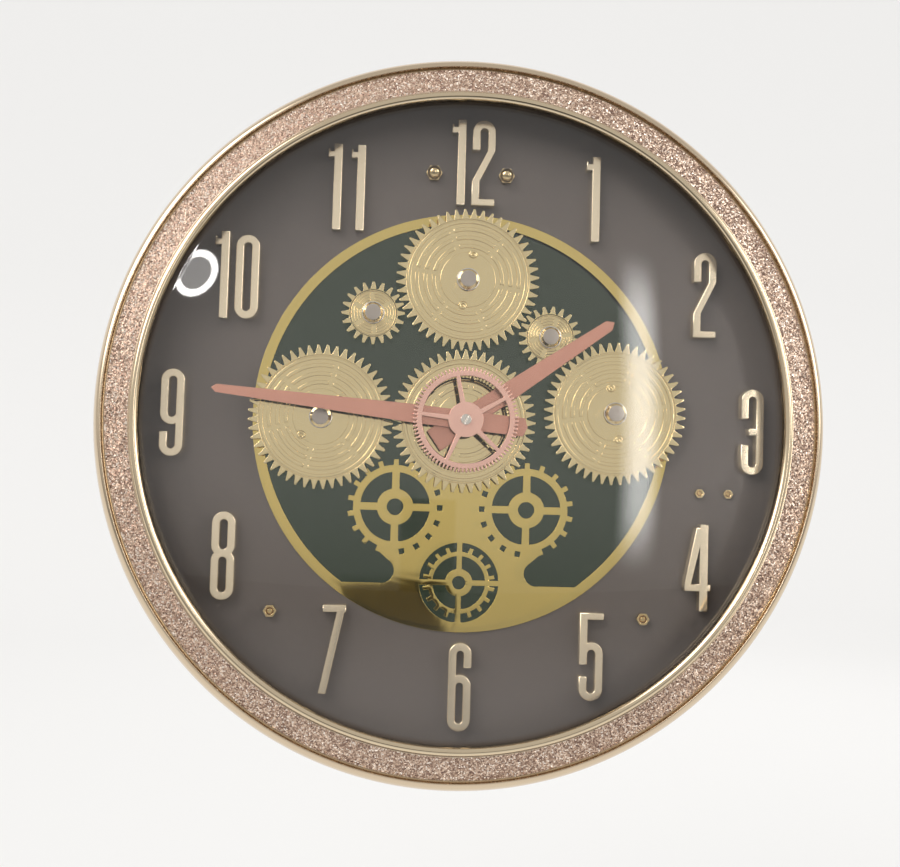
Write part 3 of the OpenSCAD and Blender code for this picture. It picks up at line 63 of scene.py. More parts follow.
# Height of the clock's axis in the row frame
AXIS_Z = next(j["pos_m"][2] for j in frame["joints"] if j["name"] == "centre_gear_spin")


# ---- Places and sizes, in mm: r from the clock's axis, w out of the wall ----

def depth(node):
    """How far a node's back and front stand from the wall."""
    low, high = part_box(node)
    return -high.y / MM, -low.y / MM


def axis_of(joint):
    """Where a joint's axis crosses the dial: mm right of the clock's axis and mm above it."""
    x, _, z = next(j["pos_m"] for j in frame["joints"] if j["name"] == joint)
    return np.array([x, z - AXIS_Z]) / MM


dial_w = depth("dial")[1]

overall_r = 250.0
lip_in_r = 241.0
lip_base = dial_w + 6.0
lip_top = dial_w + 25.5
bezel_wall = 2.5
skirt_rear = dial_w - 4.2
groove_depth = 0.9

glitter_out_r = 239.3
glitter_in_r = 222.8
glitter_high = dial_w + 28.0
glitter_low = dial_w + 24.0
glitter_t = 0.8

line_in_r = 221.3
line_top = glitter_high + 1.2

view_r = 215.8
bead_top = dial_w + 33.5

seat_r = 217.0
lens_r = 219.0
lens_front = dial_w + 28.0
lens_t = 2.5
lens_rise = 18.0

gear_back = dial_w + 5.7
gear_floor = dial_w + 8.7
gear_front = dial_w + 9.3
big_root_r, small_root_r = 43.4, 16.75
big_hub_r, small_hub_r = 8.0, 5.6
centre_bore_r, post_bore_r = 4.05, 3.05

# Steps from a sheet's flat face to its side, as (inset, drop)
NUMERAL_EDGE = [(0.62, 0.0), (0.46, 0.04), (0.12, 0.38), (0.0, 0.7)]
PLATE_EDGE = [(0.16, 0.0), (0.06, 0.04), (0.0, 0.16)]
WHEEL_EDGE = [(0.3, 0.0), (0.12, 0.06), (0.0, 0.3)]
GEAR_EDGE = [(0.36, 0.0), (0.16, 0.08), (0.0, 0.32)]
SMALL_GEAR_EDGE = [(0.66 * inset, drop) for inset, drop in GEAR_EDGE]
PIP_EDGE = [(0.4, 0.0), (0.15, 0.12), (0.0, 0.4)]


# ---- Meshes ----

def to_frame(x, z, w):
    """Points x right and z up from the clock's axis and w out of the wall, in mm, as row-frame metres."""
    return np.stack(np.broadcast_arrays(x, -w, z), -1) * MM + np.array([0.0, 0.0, AXIS_Z])


@contextmanager
def editing(mesh):
    """A mesh opened for bmesh steps and written back after them."""
    shape = bmesh.new()
    shape.from_mesh(mesh)
    yield shape
    shape.to_mesh(mesh)
    shape.free()


def weld(shape):
    bmesh.ops.remove_doubles(shape, verts=shape.verts, dist=WELD * MM)


def closed_grid(points, wrap):
    """Corners and four-sided faces of a (rows, columns) grid of points. Columns close on themselves, and
    rows too where wrap is set. The faces are turned outwards by the sign of the enclosed volume, the sum
    of a . (b x c) / 6."""
    rows, columns = points.shape[:2]
    index = np.arange(rows * columns).reshape(rows, columns)
    if wrap:
        index = np.vstack([index, index[:1]])
    index = np.hstack([index, index[:, :1]])
    quads = np.stack([index[:-1, :-1], index[:-1, 1:], index[1:, 1:], index[1:, :-1]], -1).reshape(-1, 4)
    corners = points.reshape(-1, 3)
    p = corners[quads] - corners.mean(0)
    volume = np.einsum("ij,ij->", p[:, 0], np.cross(p[:, 1], p[:, 2]) + np.cross(p[:, 2], p[:, 3]))
    return corners, quads if volume > 0 else quads[:, ::-1]


def mesh_of(name, surfaces):
    """One mesh from several closed grids, with doubled points at poles and seams merged."""
    starts = np.cumsum([0] + [len(corners) for corners, _ in surfaces])
    corners = np.concatenate([c for c, _ in surfaces])
    quads = np.concatenate([q + s for (_, q), s in zip(surfaces, starts)])
    mesh = bpy.data.meshes.new(name)
    mesh.vertices.add(len(corners))
    mesh.vertices.foreach_set("co", corners.astype(np.float32).ravel())
    mesh.loops.add(quads.size)
    mesh.loops.foreach_set("vertex_index", quads.astype(np.int32).ravel())
    mesh.polygons.add(len(quads))
    mesh.polygons.foreach_set("loop_start", np.arange(0, quads.size, 4, dtype=np.int32))
    mesh.update(calc_edges=True)
    with editing(mesh) as shape:
        weld(shape)
    return mesh


def joined(mesh, other):
    """One mesh that holds two."""
    with editing(mesh) as shape:
        shape.from_mesh(other)
    bpy.data.meshes.remove(other)
    return mesh


def added(name, data):
    """An object made of data, put into the scene."""
    made = bpy.data.objects.new(name, data)
    bpy.context.scene.collection.objects.link(made)
    return made


def even_normals(piece, keep_sharp):
    """Shades a piece by the normals of its large faces."""
    normals = piece.modifiers.new("even_normals", "WEIGHTED_NORMAL")
    normals.mode = "FACE_AREA"
    normals.weight = FACE_WEIGHT
    normals.keep_sharp = keep_sharp


def shown(name, mesh, body, slot, nodes, smooth=True, weighted=True):
    """Puts a mesh into the scene as a piece that rides on a body, takes a finish and stands for CAD nodes."""
    piece = added(name, mesh)
    mesh.polygons.foreach_set("use_smooth", np.full(len(mesh.polygons), smooth))
    mesh.materials.clear()
    mesh.materials.append(finishes[slot])
    if smooth and weighted:
        even_normals(piece, keep_sharp=True)
    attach(piece, body)
    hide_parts(*nodes)
    return piece


def body_of_node(node):
    return next(b for b, nodes in frame["record"]["behaviour"]["bodies"].items() if node in nodes)


def slot_of_node(node):
    return next(s["material_slot"] for s in frame["record"]["subparts"] if s["node"] == node)


def softened_copy(node, bevel, steps):
    """A copy of a CAD node with its triangles merged to plain faces and its edges rounded by bevel mm."""
    mesh = frame["nodes"][node].data.copy()
    mesh.name = node + "_soft"
    with editing(mesh) as shape:
        weld(shape)
        bmesh.ops.dissolve_limit(shape, angle_limit=PLANE_ANGLE, verts=shape.verts, edges=shape.edges,
                                 use_dissolve_boundaries=False)
    piece = shown(mesh.name, mesh, body_of_node(node), slot_of_node(node), [node], weighted=False)
    rounding = piece.modifiers.new("soft_edges", "BEVEL")
    rounding.width = bevel * MM
    rounding.segments = steps
    rounding.limit_method = "ANGLE"
    rounding.angle_limit = EDGE_ANGLE
    rounding.use_clamp_overlap = True
    even_normals(piece, keep_sharp=False)


def front_loops(node, front_w=None):
    """The closed outlines of a node's faces at one height, its front if none is given, as (x, z) points in
    mm: the edges that only one of those triangles has, joined end to end, with the solid on their left."""
    mesh = frame["nodes"][node].data
    corners = np.empty(len(mesh.vertices) * 3, np.float32)
    mesh.vertices.foreach_get("co", corners)
    corners = corners.reshape(-1, 3) / MM - [0.0, 0.0, AXIS_Z / MM]
    mesh.calc_loop_triangles()
    triangles = np.empty(len(mesh.loop_triangles) * 3, np.int32)
    mesh.loop_triangles.foreach_get("vertices", triangles)
    _, first, welded = np.unique(np.round(corners / WELD), axis=0, return_index=True, return_inverse=True)
    triangles, corners = welded.ravel()[triangles].reshape(-1, 3), corners[first]
    level = corners[:, 1].min() if front_w is None else -front_w
    front = triangles[(np.abs(corners[triangles][..., 1] - level) < 10 * WELD).all(1)]
    edges = set(map(tuple, np.concatenate([front[:, [0, 1]], front[:, [1, 2]], front[:, [2, 0]]])))
    after = {a: b for a, b in edges if (b, a) not in edges}
    loops = []
    while after:
        start, here = after.popitem()
        loop = [start]
        while here != start:
            loop.append(here)
            here = after.pop(here)
        loops.append(corners[loop][:, [0, 2]])
    return loops


def straightened(loop):
    """An outline without the points that lie on a straight run or on top of the one before."""
    shortest, least_bend = 0.02, 1e-3
    back, on = loop - np.roll(loop, 1, 0), np.roll(loop, -1, 0) - loop
    back_long, on_long = np.linalg.norm(back, axis=1), np.linalg.norm(on, axis=1)
    bend = back[:, 0] * on[:, 1] - back[:, 1] * on[:, 0]
    return loop[(back_long > shortest) & (np.abs(bend) > least_bend * back_long * on_long)]


def moved_in(loop, inset):
    """An outline moved inset mm into the solid on its left: each point goes along the sum of its two edges'
    normals, as far as the sum's own length asks, which is inset / cos of half the bend. The least squared
    length that counts keeps the points of sharp corners from running off."""
    least = 0.35
    on = np.roll(loop, -1, 0) - loop
    normal = np.stack([-on[:, 1], on[:, 0]], 1) / np.linalg.norm(on, axis=1)[:, None]
    total = normal + np.roll(normal, 1, 0)
    return loop + inset * total * (2 / np.maximum((total**2).sum(1), least))[:, None]


def filled(loops, w):
    """The flat face between outlines at one height, as points and triangles: of the Delaunay triangles that
    keep the outlines as edges, those whose middle has an odd number of outline edges to its right."""
    near = 1e-5
    ends = np.cumsum([len(loop) for loop in loops])
    after = np.arange(1, ends[-1] + 1)
    after[ends - 1] = np.r_[0, ends[:-1]]
    points = np.concatenate(loops)
    edges = np.stack([np.arange(len(points)), after], 1).tolist()
    corners, _, triangles = delaunay_2d_cdt(list(map(Vector, points)), edges, [], 0, near)[:3]
    corners, triangles = np.array(corners), np.array(triangles)
    x, z = corners[triangles].mean(1).T[:, :, None]
    (ax, az), (bx, bz) = points.T, points[after].T
    spans = (az > z) != (bz > z)
    cut_x = ax + (z - az) * (bx - ax) / np.where(bz == az, 1.0, bz - az)
    odd = (spans & (cut_x > x)).sum(1) % 2 == 1
    return to_frame(*corners.T, w), triangles[odd]


def sheet_mesh(name, loops, edge, back_w, front_w, back_edge):
    """A flat sheet with a clean edge: its outlines carried through (inset, drop) steps from the front round
    to the back, and both faces filled."""
    steps = [(inset, front_w - drop) for inset, drop in edge]
    steps += [(0.0, back_w + back_edge), (back_edge, back_w)]
    loops = [straightened(loop) for loop in loops]
    mesh = mesh_of(name, [
        closed_grid(np.stack([to_frame(*moved_in(loop, inset).T, w) for inset, w in steps]), False)
        for loop in loops])
    for inset, w in (steps[0], steps[-1]):
        face = bpy.data.meshes.new(name + "_face")
        points, triangles = filled([moved_in(loop, inset) for loop in loops], w)
        face.from_pydata(points, [], triangles)
        joined(mesh, face)
    with editing(mesh) as shape:
        weld(shape)
        bmesh.ops.recalc_face_normals(shape, faces=shape.faces)
    return mesh


def cut_sheet(node, edge, back_edge=0.15):
    """A flat CAD node made again with a clean edge."""
    mesh = sheet_mesh(node + "_sheet", front_loops(node), edge, *depth(node), back_edge)
    shown(node + "_sheet", mesh, body_of_node(node), slot_of_node(node), [node])


def rounded(corners, radius, steps):
    """A closed outline with each corner rounded by the curve (1-s)^2 a + 2s(1-s) p + s^2 b, where a and b
    lie radius from the corner p along its two edges, or at 45% of an edge that is shorter."""
    p = np.asarray(corners, float)
    ends = []
    for way in (1, -1):
        edge = np.roll(p, way, 0) - p
        length = np.linalg.norm(edge, axis=1)
        ends.append(p + edge * (np.minimum(radius, 0.45 * length) / length)[:, None])
    s = np.linspace(0, 1, steps + 1)[None, :, None]
    curve = (1 - s) ** 2 * ends[0][:, None] + 2 * s * (1 - s) * p[:, None] + s**2 * ends[1][:, None]
    return curve.reshape(-1, 2)


def spun(profile, columns, centre=(0.0, 0.0)):
    """A profile of (radius, w) carried round an axis through centre: x = cx + r cos t, z = cz + r sin t."""
    profile = np.asarray(profile, float)
    t = np.linspace(0, TURN, columns, endpoint=False)
    r, w = profile[:, :1], profile[:, 1:]
    points = to_frame(r * np.cos(t) + centre[0], r * np.sin(t) + centre[1], w)
    return closed_grid(points, profile[0, 0] > 0)


# ---- Shader nodes ----

def join(tree, made, joins):
    """Joins a node's inputs to the outputs of others, or gives them plain values."""
    for label, value in joins.items():
        if isinstance(value, bpy.types.NodeSocket):
            tree.links.new(value, made.inputs[label])
        else:
            made.inputs[label].default_value = value


def node(tree, kind, joins, **settings):
    """A shader node with its inputs joined and its properties set."""
    made = tree.nodes.new(kind)
    for label, value in settings.items():
        setattr(made, label, value)
    join(tree, made, joins)
    return made


def maths(tree, operation, *values, clamp=False):
    """What a math node makes of sockets or plain values."""
    return node(tree, "ShaderNodeMath", dict(enumerate(values)), operation=operation,
                use_clamp=clamp).outputs[0]


def ranged(tree, value, low, high, start=0.0, end=1.0, easing="SMOOTHSTEP"):
    """start where a value is low and end where it is high."""
    return node(tree, "ShaderNodeMapRange",
                {"Value": value, "From Min": low, "From Max": high, "To Min": start, "To Max": end},
                interpolation_type=easing).outputs[0]


def mixed(tree, share, one, other):
    """One colour where share is 0 and the other where it is 1."""
    return node(tree, "ShaderNodeMix", {0: share, 6: one, 7: other}, data_type="RGBA").outputs[2]


def noise(tree, place, scale, detail, roughness=0.5):
    """Soft noise from 0 to 1 over a place."""
    return node(tree, "ShaderNodeTexNoise",
                {"Vector": place, "Scale": scale, "Detail": detail, "Roughness": roughness}).outputs["Fac"]


def new_group(name, inputs, outputs):
    """A shader group with its sockets: (name, kind, default) in, (name, kind) out."""
    group = bpy.data.node_groups.new(name, "ShaderNodeTree")
    for label, kind, default in inputs:
        socket = group.interface.new_socket(label, in_out="INPUT", socket_type=kind)
        socket.default_value = default
    for label, kind in outputs:
        group.interface.new_socket(label, in_out="OUTPUT", socket_type=kind)
    return group, group.nodes.new("NodeGroupInput").outputs, group.nodes.new("NodeGroupOutput")


def make_tone_group():
    """Two tones mixed by soft noise."""
    contrast = 2.0
    group, given, result = new_group(
        "cloudy_tone",
        [("Place", "NodeSocketVector", (0, 0, 0)), ("Tone A", "NodeSocketColor", (1, 1, 1, 1)),
         ("Tone B", "NodeSocketColor", (0, 0, 0, 1)), ("Scale", "NodeSocketFloat", 100.0)],
        [("Color", "NodeSocketColor")])
    low = maths(group, "SUBTRACT", noise(group, given["Place"], given["Scale"], 4.0), 0.5)
    mask = maths(group, "ADD", maths(group, "MULTIPLY", low, contrast), 0.5, clamp=True)
    join(group, result, {"Color": mixed(group, mask, given["Tone A"], given["Tone B"])})
    return group


def make_surface_group():
    """Roughness between two values with faint rub marks, and a fine grain height."""
    group, given, result = new_group(
        "rub_and_grain",
        [("Place", "NodeSocketVector", (0, 0, 0)), ("Rough Low", "NodeSocketFloat", 0.2),
         ("Rough High", "NodeSocketFloat", 0.3), ("Rub Scale", "NodeSocketFloat", 60.0),
         ("Grain Scale", "NodeSocketFloat", 2000.0)],
        [("Roughness", "NodeSocketFloat"), ("Height", "NodeSocketFloat")])
    rub = noise(group, given["Place"], given["Rub Scale"], 6.0, 0.65)
    grain = noise(group, given["Place"], given["Grain Scale"], 2.0)
    join(group, result, {
        "Roughness": ranged(group, rub, 0.3, 0.7, given["Rough Low"], given["Rough High"], "LINEAR"),
        "Height": grain})
    return group


tone_group = make_tone_group()
surface_group = make_surface_group()


# ---- Finishes ----

def blank_finish(name):
    """A material with only its output and shader, and the object's own coordinates."""
    material = bpy.data.materials.new(name)
    material.use_nodes = True
    tree = material.node_tree
    tree.nodes.clear()
    out = tree.nodes.new("ShaderNodeOutputMaterial")
    shader = tree.nodes.new("ShaderNodeBsdfPrincipled")
    tree.links.new(shader.outputs[0], out.inputs[0])
    place = tree.nodes.new("ShaderNodeTexCoord").outputs["Object"]
    return material, tree, shader, place, out


def surface_of(tree, place, rough, rub_scale, grain_scale):
    """The roughness and grain height of a surface."""
    return node(tree, "ShaderNodeGroup",
                {"Place": place, "Rough Low": rough[0], "Rough High": rough[1],
                 "Rub Scale": rub_scale, "Grain Scale": grain_scale},
                node_tree=surface_group).outputs


def grain_normal(tree, height, grain_depth):
    """The normal of a surface whose grain is grain_depth mm deep."""
    return node(tree, "ShaderNodeBump",
                {"Strength": 0.35, "Distance": grain_depth * MM, "Height": height}).outputs[0]


def plain_finish(name, tone, other, metallic, rough, scale, stretch=(1, 1, 1), grain=(2500.0, 0.02),
                 coat=0.0, sheen=0.0, painted_shade_back=False):
    """Painted, plated, turned or moulded surface: two tones, rubbed roughness and a grain of (scale, depth
    in mm), stretched where the metal is brushed. Where asked, the faces that look at the wall are painted
    dark and not metallic: painted shade on the side away from the light, also in what the gears mirror."""
    material, tree, shader, place, _ = blank_finish(name)
    place = node(tree, "ShaderNodeMapping", {"Vector": place, "Scale": stretch}).outputs[0]
    color = node(tree, "ShaderNodeGroup",
                 {"Place": place, "Tone A": (*tone, 1), "Tone B": (*other, 1), "Scale": scale},
                 node_tree=tone_group).outputs["Color"]
    surface = surface_of(tree, place, rough, scale * 0.7, grain[0])
    # Painted shade: faces turned towards the wall get a near-black colour and lose their metal, so they and their
    # reflections in the gears read as shaded
    if painted_shade_back:
        facing = tree.nodes.new("ShaderNodeNewGeometry").outputs["Normal"]
        towards_wall = node(tree, "ShaderNodeSeparateXYZ", {0: facing}).outputs["Y"]
        back = maths(tree, "GREATER_THAN", towards_wall, 0.3)
        color = mixed(tree, back, color, (0.022, 0.016, 0.013, 1))
        metallic = maths(tree, "MULTIPLY_ADD", back, -metallic, metallic)
    join(tree, shader, {
        "Base Color": color, "Metallic": metallic, "Roughness": surface["Roughness"],
        "Normal": grain_normal(tree, surface["Height"], grain[1]),
        "Coat Weight": coat, "Coat Roughness": 0.05, "Sheen Weight": sheen})
    return material


def glitter_finish(name):
    """Flakes from a cell pattern: each cell has its own tone, tilt and gloss, under clear lacquer."""
    material, tree, shader, place, _ = blank_finish(name)
    cells = node(tree, "ShaderNodeTexVoronoi", {"Vector": place, "Scale": 1150.0}).outputs["Color"]
    parts = node(tree, "ShaderNodeSeparateColor", {"Color": cells}).outputs
    ramp = node(tree, "ShaderNodeValToRGB", {"Fac": parts[0]})
    stops = ramp.color_ramp.elements
    stops[0].position, stops[0].color = 0.0, (0.16, 0.095, 0.075, 1)
    stops[1].position, stops[1].color = 1.0, (1.0, 0.90, 0.80, 1)
    for position, color in ((0.2, (0.26, 0.16, 0.115, 1)), (0.55, (0.50, 0.35, 0.26, 1)),
                            (0.82, (0.74, 0.56, 0.43, 1))):
        stops.new(position).color = color
    centred = node(tree, "ShaderNodeVectorMath", {0: cells, 1: (0.5, 0.5, 0.5)}, operation="SUBTRACT")
    tilt = node(tree, "ShaderNodeVectorMath", {0: centred.outputs[0], "Scale": 0.75}, operation="SCALE")
    normal = tree.nodes.new("ShaderNodeNewGeometry").outputs["Normal"]
    tilted = node(tree, "ShaderNodeVectorMath", {0: normal, 1: tilt.outputs[0]}, operation="ADD")
    unit = node(tree, "ShaderNodeVectorMath", {0: tilted.outputs[0]}, operation="NORMALIZE")
    join(tree, shader, {
        "Base Color": ramp.outputs[0], "Roughness": ranged(tree, parts[1], 0.0, 1.0, 0.18, 0.5, "LINEAR"),
        "Normal": unit.outputs[0], "Metallic": 0.7, "Coat Weight": 0.25, "Coat Roughness": 0.08})
    return material


def pane_finish(name, tone, pass_tone, level):
    """Clear or smoked pane with a thin anti-glare coat: level lowers how much it reflects. Lamps light what
    is behind it, as its shadow is only its tint, pass_tone."""
    material, tree, shader, place, out = blank_finish(name)
    surface = surface_of(tree, place, (0.0, 0.004), 40.0, 900.0)
    join(tree, shader, {
        "Base Color": (*tone, 1), "Roughness": surface["Roughness"], "Transmission Weight": 1.0,
        "IOR": 1.46, "Specular IOR Level": level})
    clear = node(tree, "ShaderNodeBsdfTransparent", {"Color": (*pass_tone, 1)}).outputs[0]
    shadow = tree.nodes.new("ShaderNodeLightPath").outputs["Is Shadow Ray"]
    mix = node(tree, "ShaderNodeMixShader", {0: shadow, 1: shader.outputs[0], 2: clear})
    tree.links.new(mix.outputs[0], out.inputs[0])
    return material


def cap_finish(name, top_w):
    """Turned metal, polished but for the tops of the gear caps, which are satin: those are the faces top_w
    mm from the wall."""
    material, tree, shader, place, _ = blank_finish(name)
    height = node(tree, "ShaderNodeSeparateXYZ", {0: place}).outputs["Y"]
    top = maths(tree, "COMPARE", height, -top_w * MM, 0.25 * MM)
    surface = surface_of(tree, place, (0.06, 0.11), 150.0, 2500.0)
    join(tree, shader, {
        "Base Color": mixed(tree, top, (0.80, 0.75, 0.68, 1), (0.50, 0.44, 0.385, 1)), "Metallic": 1.0,
        "Roughness": maths(tree, "MULTIPLY_ADD", top, 0.24, surface["Roughness"]),
        "Normal": grain_normal(tree, surface["Height"], 0.006)})
    return material


finishes = {
    "rim_gold": plain_finish(
        "champagne_gold_satin", (0.74, 0.60, 0.43), (0.71, 0.57, 0.41), 1.0, (0.14, 0.20), 40.0),
    "bead_gold": plain_finish(
        "champagne_gold_polished", (0.80, 0.66, 0.46), (0.77, 0.63, 0.44), 1.0, (0.08, 0.13), 60.0),
    "glitter": glitter_finish("rose_glitter"),
    "clear_glass": pane_finish("clear_pane", (1.0, 1.0, 1.0), (0.97, 0.97, 0.97), 0.2),
    "dial_sheet": plain_finish(
        "warm_grey_metallic", (0.115, 0.096, 0.084), (0.109, 0.091, 0.079), 0.2, (0.30, 0.36), 30.0,
        stretch=(0.05, 1, 1), grain=(2200.0, 0.004)),
    "polished_plate": plain_finish(
        "mirror_gold", (0.86, 0.67, 0.24), (0.84, 0.64, 0.22), 1.0, (0.03, 0.06), 12.0, grain=(14.0, 0.3)),
    "smoked_panel": pane_finish("smoked_pane", (0.035, 0.048, 0.030), (0.02, 0.026, 0.022), 0.1),
    "numeral_gold": plain_finish(
        "numeral_champagne", (0.94, 0.80, 0.58), (0.92, 0.78, 0.565), 0.85, (0.13, 0.17), 30.0,
        grain=(2500.0, 0.004)),
    "nut_gold": plain_finish(
        "plated_nut", (0.78, 0.62, 0.36), (0.70, 0.54, 0.30), 1.0, (0.07, 0.13), 300.0),
    "turned_steel": plain_finish(
        "turned_steel", (0.56, 0.55, 0.53), (0.48, 0.47, 0.46), 1.0, (0.28, 0.42), 250.0,
        stretch=(1, 8, 1)),
    "cap_chrome": cap_finish("turned_cap", depth("gear_caps")[1]),
    "black_plastic": plain_finish(
        "black_moulded", (0.020, 0.020, 0.021), (0.030, 0.029, 0.028), 0.0, (0.42, 0.58), 150.0,
        grain=(1500.0, 0.08)),
    "coil_copper": plain_finish(
        "coil_winding", (0.62, 0.24, 0.11), (0.45, 0.16, 0.08), 0.8, (0.25, 0.4), 300.0,
        stretch=(12, 1, 1)),
    "case_plastic": plain_finish(
        "champagne_case", (0.44, 0.34, 0.26), (0.40, 0.31, 0.235), 0.35, (0.30, 0.40), 60.0,
        grain=(1800.0, 0.04)),
    "cover_plastic": plain_finish(
        "grey_moulded", (0.060, 0.058, 0.056), (0.048, 0.047, 0.046), 0.0, (0.48, 0.62), 90.0,
        grain=(1300.0, 0.12)),
    "cell_jacket": plain_finish(
        "cell_jacket", (0.045, 0.075, 0.14), (0.038, 0.066, 0.125), 0.3, (0.2, 0.3), 60.0),
    "contact_nickel": plain_finish(
        "contact_nickel", (0.62, 0.59, 0.54), (0.55, 0.52, 0.47), 1.0, (0.2, 0.34), 400.0),
    "speaker_black": plain_finish(
        "speaker_black", (0.028, 0.028, 0.030), (0.020, 0.020, 0.021), 0.0, (0.5, 0.7), 200.0,
        grain=(900.0, 0.15)),
    "board_green": plain_finish(
        "board_green", (0.020, 0.095, 0.050), (0.017, 0.080, 0.042), 0.0, (0.25, 0.4), 350.0, coat=0.3),
    "bumper_rubber": plain_finish(
        "bumper_rubber", (0.024, 0.024, 0.024), (0.034, 0.033, 0.032), 0.0, (0.6, 0.8), 300.0,
        grain=(1200.0, 0.1), sheen=0.1),
    "gear_gold": plain_finish(
        "gear_pale_gold", (0.90, 0.74, 0.42), (0.88, 0.72, 0.405), 1.0, (0.05, 0.08), 40.0,
        grain=(20.0, 0.12)),
    "turned_brass": plain_finish(
        "turned_brass", (0.72, 0.52, 0.24), (0.64, 0.45, 0.20), 1.0, (0.22, 0.34), 300.0),
    "hand_rose": plain_finish(
        "rose_gold_hand", (0.70, 0.35, 0.255), (0.67, 0.335, 0.245), 0.8, (0.18, 0.24), 70.0,
        grain=(2600.0, 0.006), painted_shade_back=True),
    "wheel_rose": plain_finish(
        "rose_gold_wheel", (0.88, 0.54, 0.43), (0.86, 0.52, 0.415), 0.8, (0.18, 0.25), 60.0,
        grain=(2600.0, 0.006), painted_shade_back=True),
    "button_rose": plain_finish(
        "button_rose", (0.36, 0.17, 0.13), (0.33, 0.155, 0.12), 0.2, (0.3, 0.42), 150.0),
}

for name, cad in frame["nodes"].items():
    cad.data.materials.clear()
    cad.data.materials.append(finishes[slot_of_node(name)])


# ---- Bezel, bead, glitter band and lens ----

def make_bezel():
    """Ring section carried round the clock: lens seat, fine line, glitter seat, groove, lip and skirt. The
    lip is a quarter of an oval."""
    play = 0.02
    lens_seat = lens_front - lens_t
    glitter_seat_in, glitter_seat_out = glitter_high - glitter_t, glitter_low - glitter_t
    groove_floor = glitter_seat_out - groove_depth
    inner = [
        [seat_r, lens_seat - bezel_wall], [seat_r, lens_seat], [lens_r + play, lens_seat],
        [lens_r + play, lens_front], [line_in_r, lens_front], [line_in_r, line_top],
        [glitter_in_r, line_top], [glitter_in_r, glitter_seat_in], [glitter_out_r, glitter_seat_out],
        [glitter_out_r, groove_floor], [lip_in_r, groove_floor]]
    a = np.linspace(math.pi / 2, 0, 21)[:, None]
    lip = np.hstack([lip_in_r + (overall_r - lip_in_r) * np.cos(a),
                     lip_base + (lip_top - lip_base) * np.sin(a)])
    back = [
        [overall_r - 1.0, skirt_rear], [overall_r - 3.2, skirt_rear], [overall_r - 2.7, lip_base],
        [lip_in_r + 4.05, dial_w + 0.62 * (lip_top - dial_w)], [lip_in_r, groove_floor - bezel_wall],
        [glitter_in_r, glitter_seat_in - bezel_wall - groove_depth],
        [glitter_in_r, lens_seat - bezel_wall]]
    profile = np.vstack([rounded(inner, 0.35, 3), lip, rounded(back, 0.4, 2)])
    mesh = mesh_of("bezel_ring", [spun(profile, RING_COLUMNS)])
    shown("bezel_ring", mesh, "clock", "rim_gold", ["bezel"])


def make_bead():
    """Half-round bead on a short flange, carried round the clock."""
    play = 0.02
    r = (line_in_r - view_r - play) / 2
    a = np.linspace(0, math.pi, 17)[:, None]
    middle = np.array([view_r + r, bead_top - r - play / 2])
    arc = middle + r * np.hstack([np.cos(a), np.sin(a)])
    profile = np.vstack([[[view_r, lens_front], [view_r + 2 * r, lens_front]], arc])
    mesh = mesh_of("lens_bead", [spun(profile, RING_COLUMNS)])
    shown("lens_bead", mesh, "clock", "bead_gold", ["lens_retainer"])


def make_glitter():
    """A tapered band whose face is a grid of small flats. Each corner of the grid is moved by its own small
    amount: outwards and in, up and down, and along the ring by a part of a column."""
    columns, rows = 1280, 15
    out_by, up_by, along_by = 0.3, 0.15, 0.3
    sunk = 0.16
    in_r = glitter_in_r + 0.03
    dice = np.random.default_rng(7)
    share = np.linspace(0, 1, rows)[:, None]
    t = np.linspace(0, TURN, columns, endpoint=False)[None, :]
    inner = (share > 0) & (share < 1)
    r = in_r + (glitter_out_r - in_r) * share + 0 * t
    r = r + inner * dice.uniform(-out_by, out_by, (rows, columns))
    w = glitter_high + (glitter_low - glitter_high) * share - sunk
    w = w + inner * dice.uniform(-up_by, up_by, (rows, columns))
    turned_t = t + inner * dice.uniform(-along_by, along_by, (rows, columns)) * TURN / columns
    front = to_frame(r * np.cos(turned_t), r * np.sin(turned_t), w)
    back_r = np.array([[glitter_out_r], [in_r]])
    back_w = np.array([[glitter_low - glitter_t], [glitter_high - glitter_t]])
    back = to_frame(back_r * np.cos(t), back_r * np.sin(t), back_w)
    mesh = mesh_of("glitter_flakes", [closed_grid(np.vstack([front, back]), True)])
    shown("glitter_flakes", mesh, "clock", "glitter", ["glitter_band"], smooth=False)


def make_lens():
    """Two caps of one sphere a pane apart, w = m + sqrt(R^2 - r^2), joined by a flat rim."""
    dome_r = view_r - 0.8
    soft = 0.2
    sphere_r = (dome_r**2 + lens_rise**2) / (2 * lens_rise)
    r = np.sqrt(np.linspace(0, 1, 33)) * dome_r
    w = lens_front + lens_rise - sphere_r + np.sqrt(sphere_r**2 - r**2)
    outer = np.stack([r, w], 1)
    edge = np.array([[lens_r - soft, lens_front], [lens_r, lens_front - soft],
                     [lens_r, lens_front - lens_t + soft], [lens_r - soft, lens_front - lens_t]])
    profile = np.vstack([outer, edge, (outer - [0, lens_t])[::-1]])
    mesh = mesh_of("domed_lens", [spun(profile, 256)])
    shown("domed_lens", mesh, "clock", "clear_glass", ["lens"], weighted=False)
    mesh.set_sharp_from_angle(angle=math.radians(30))


# ---- Show gears ----

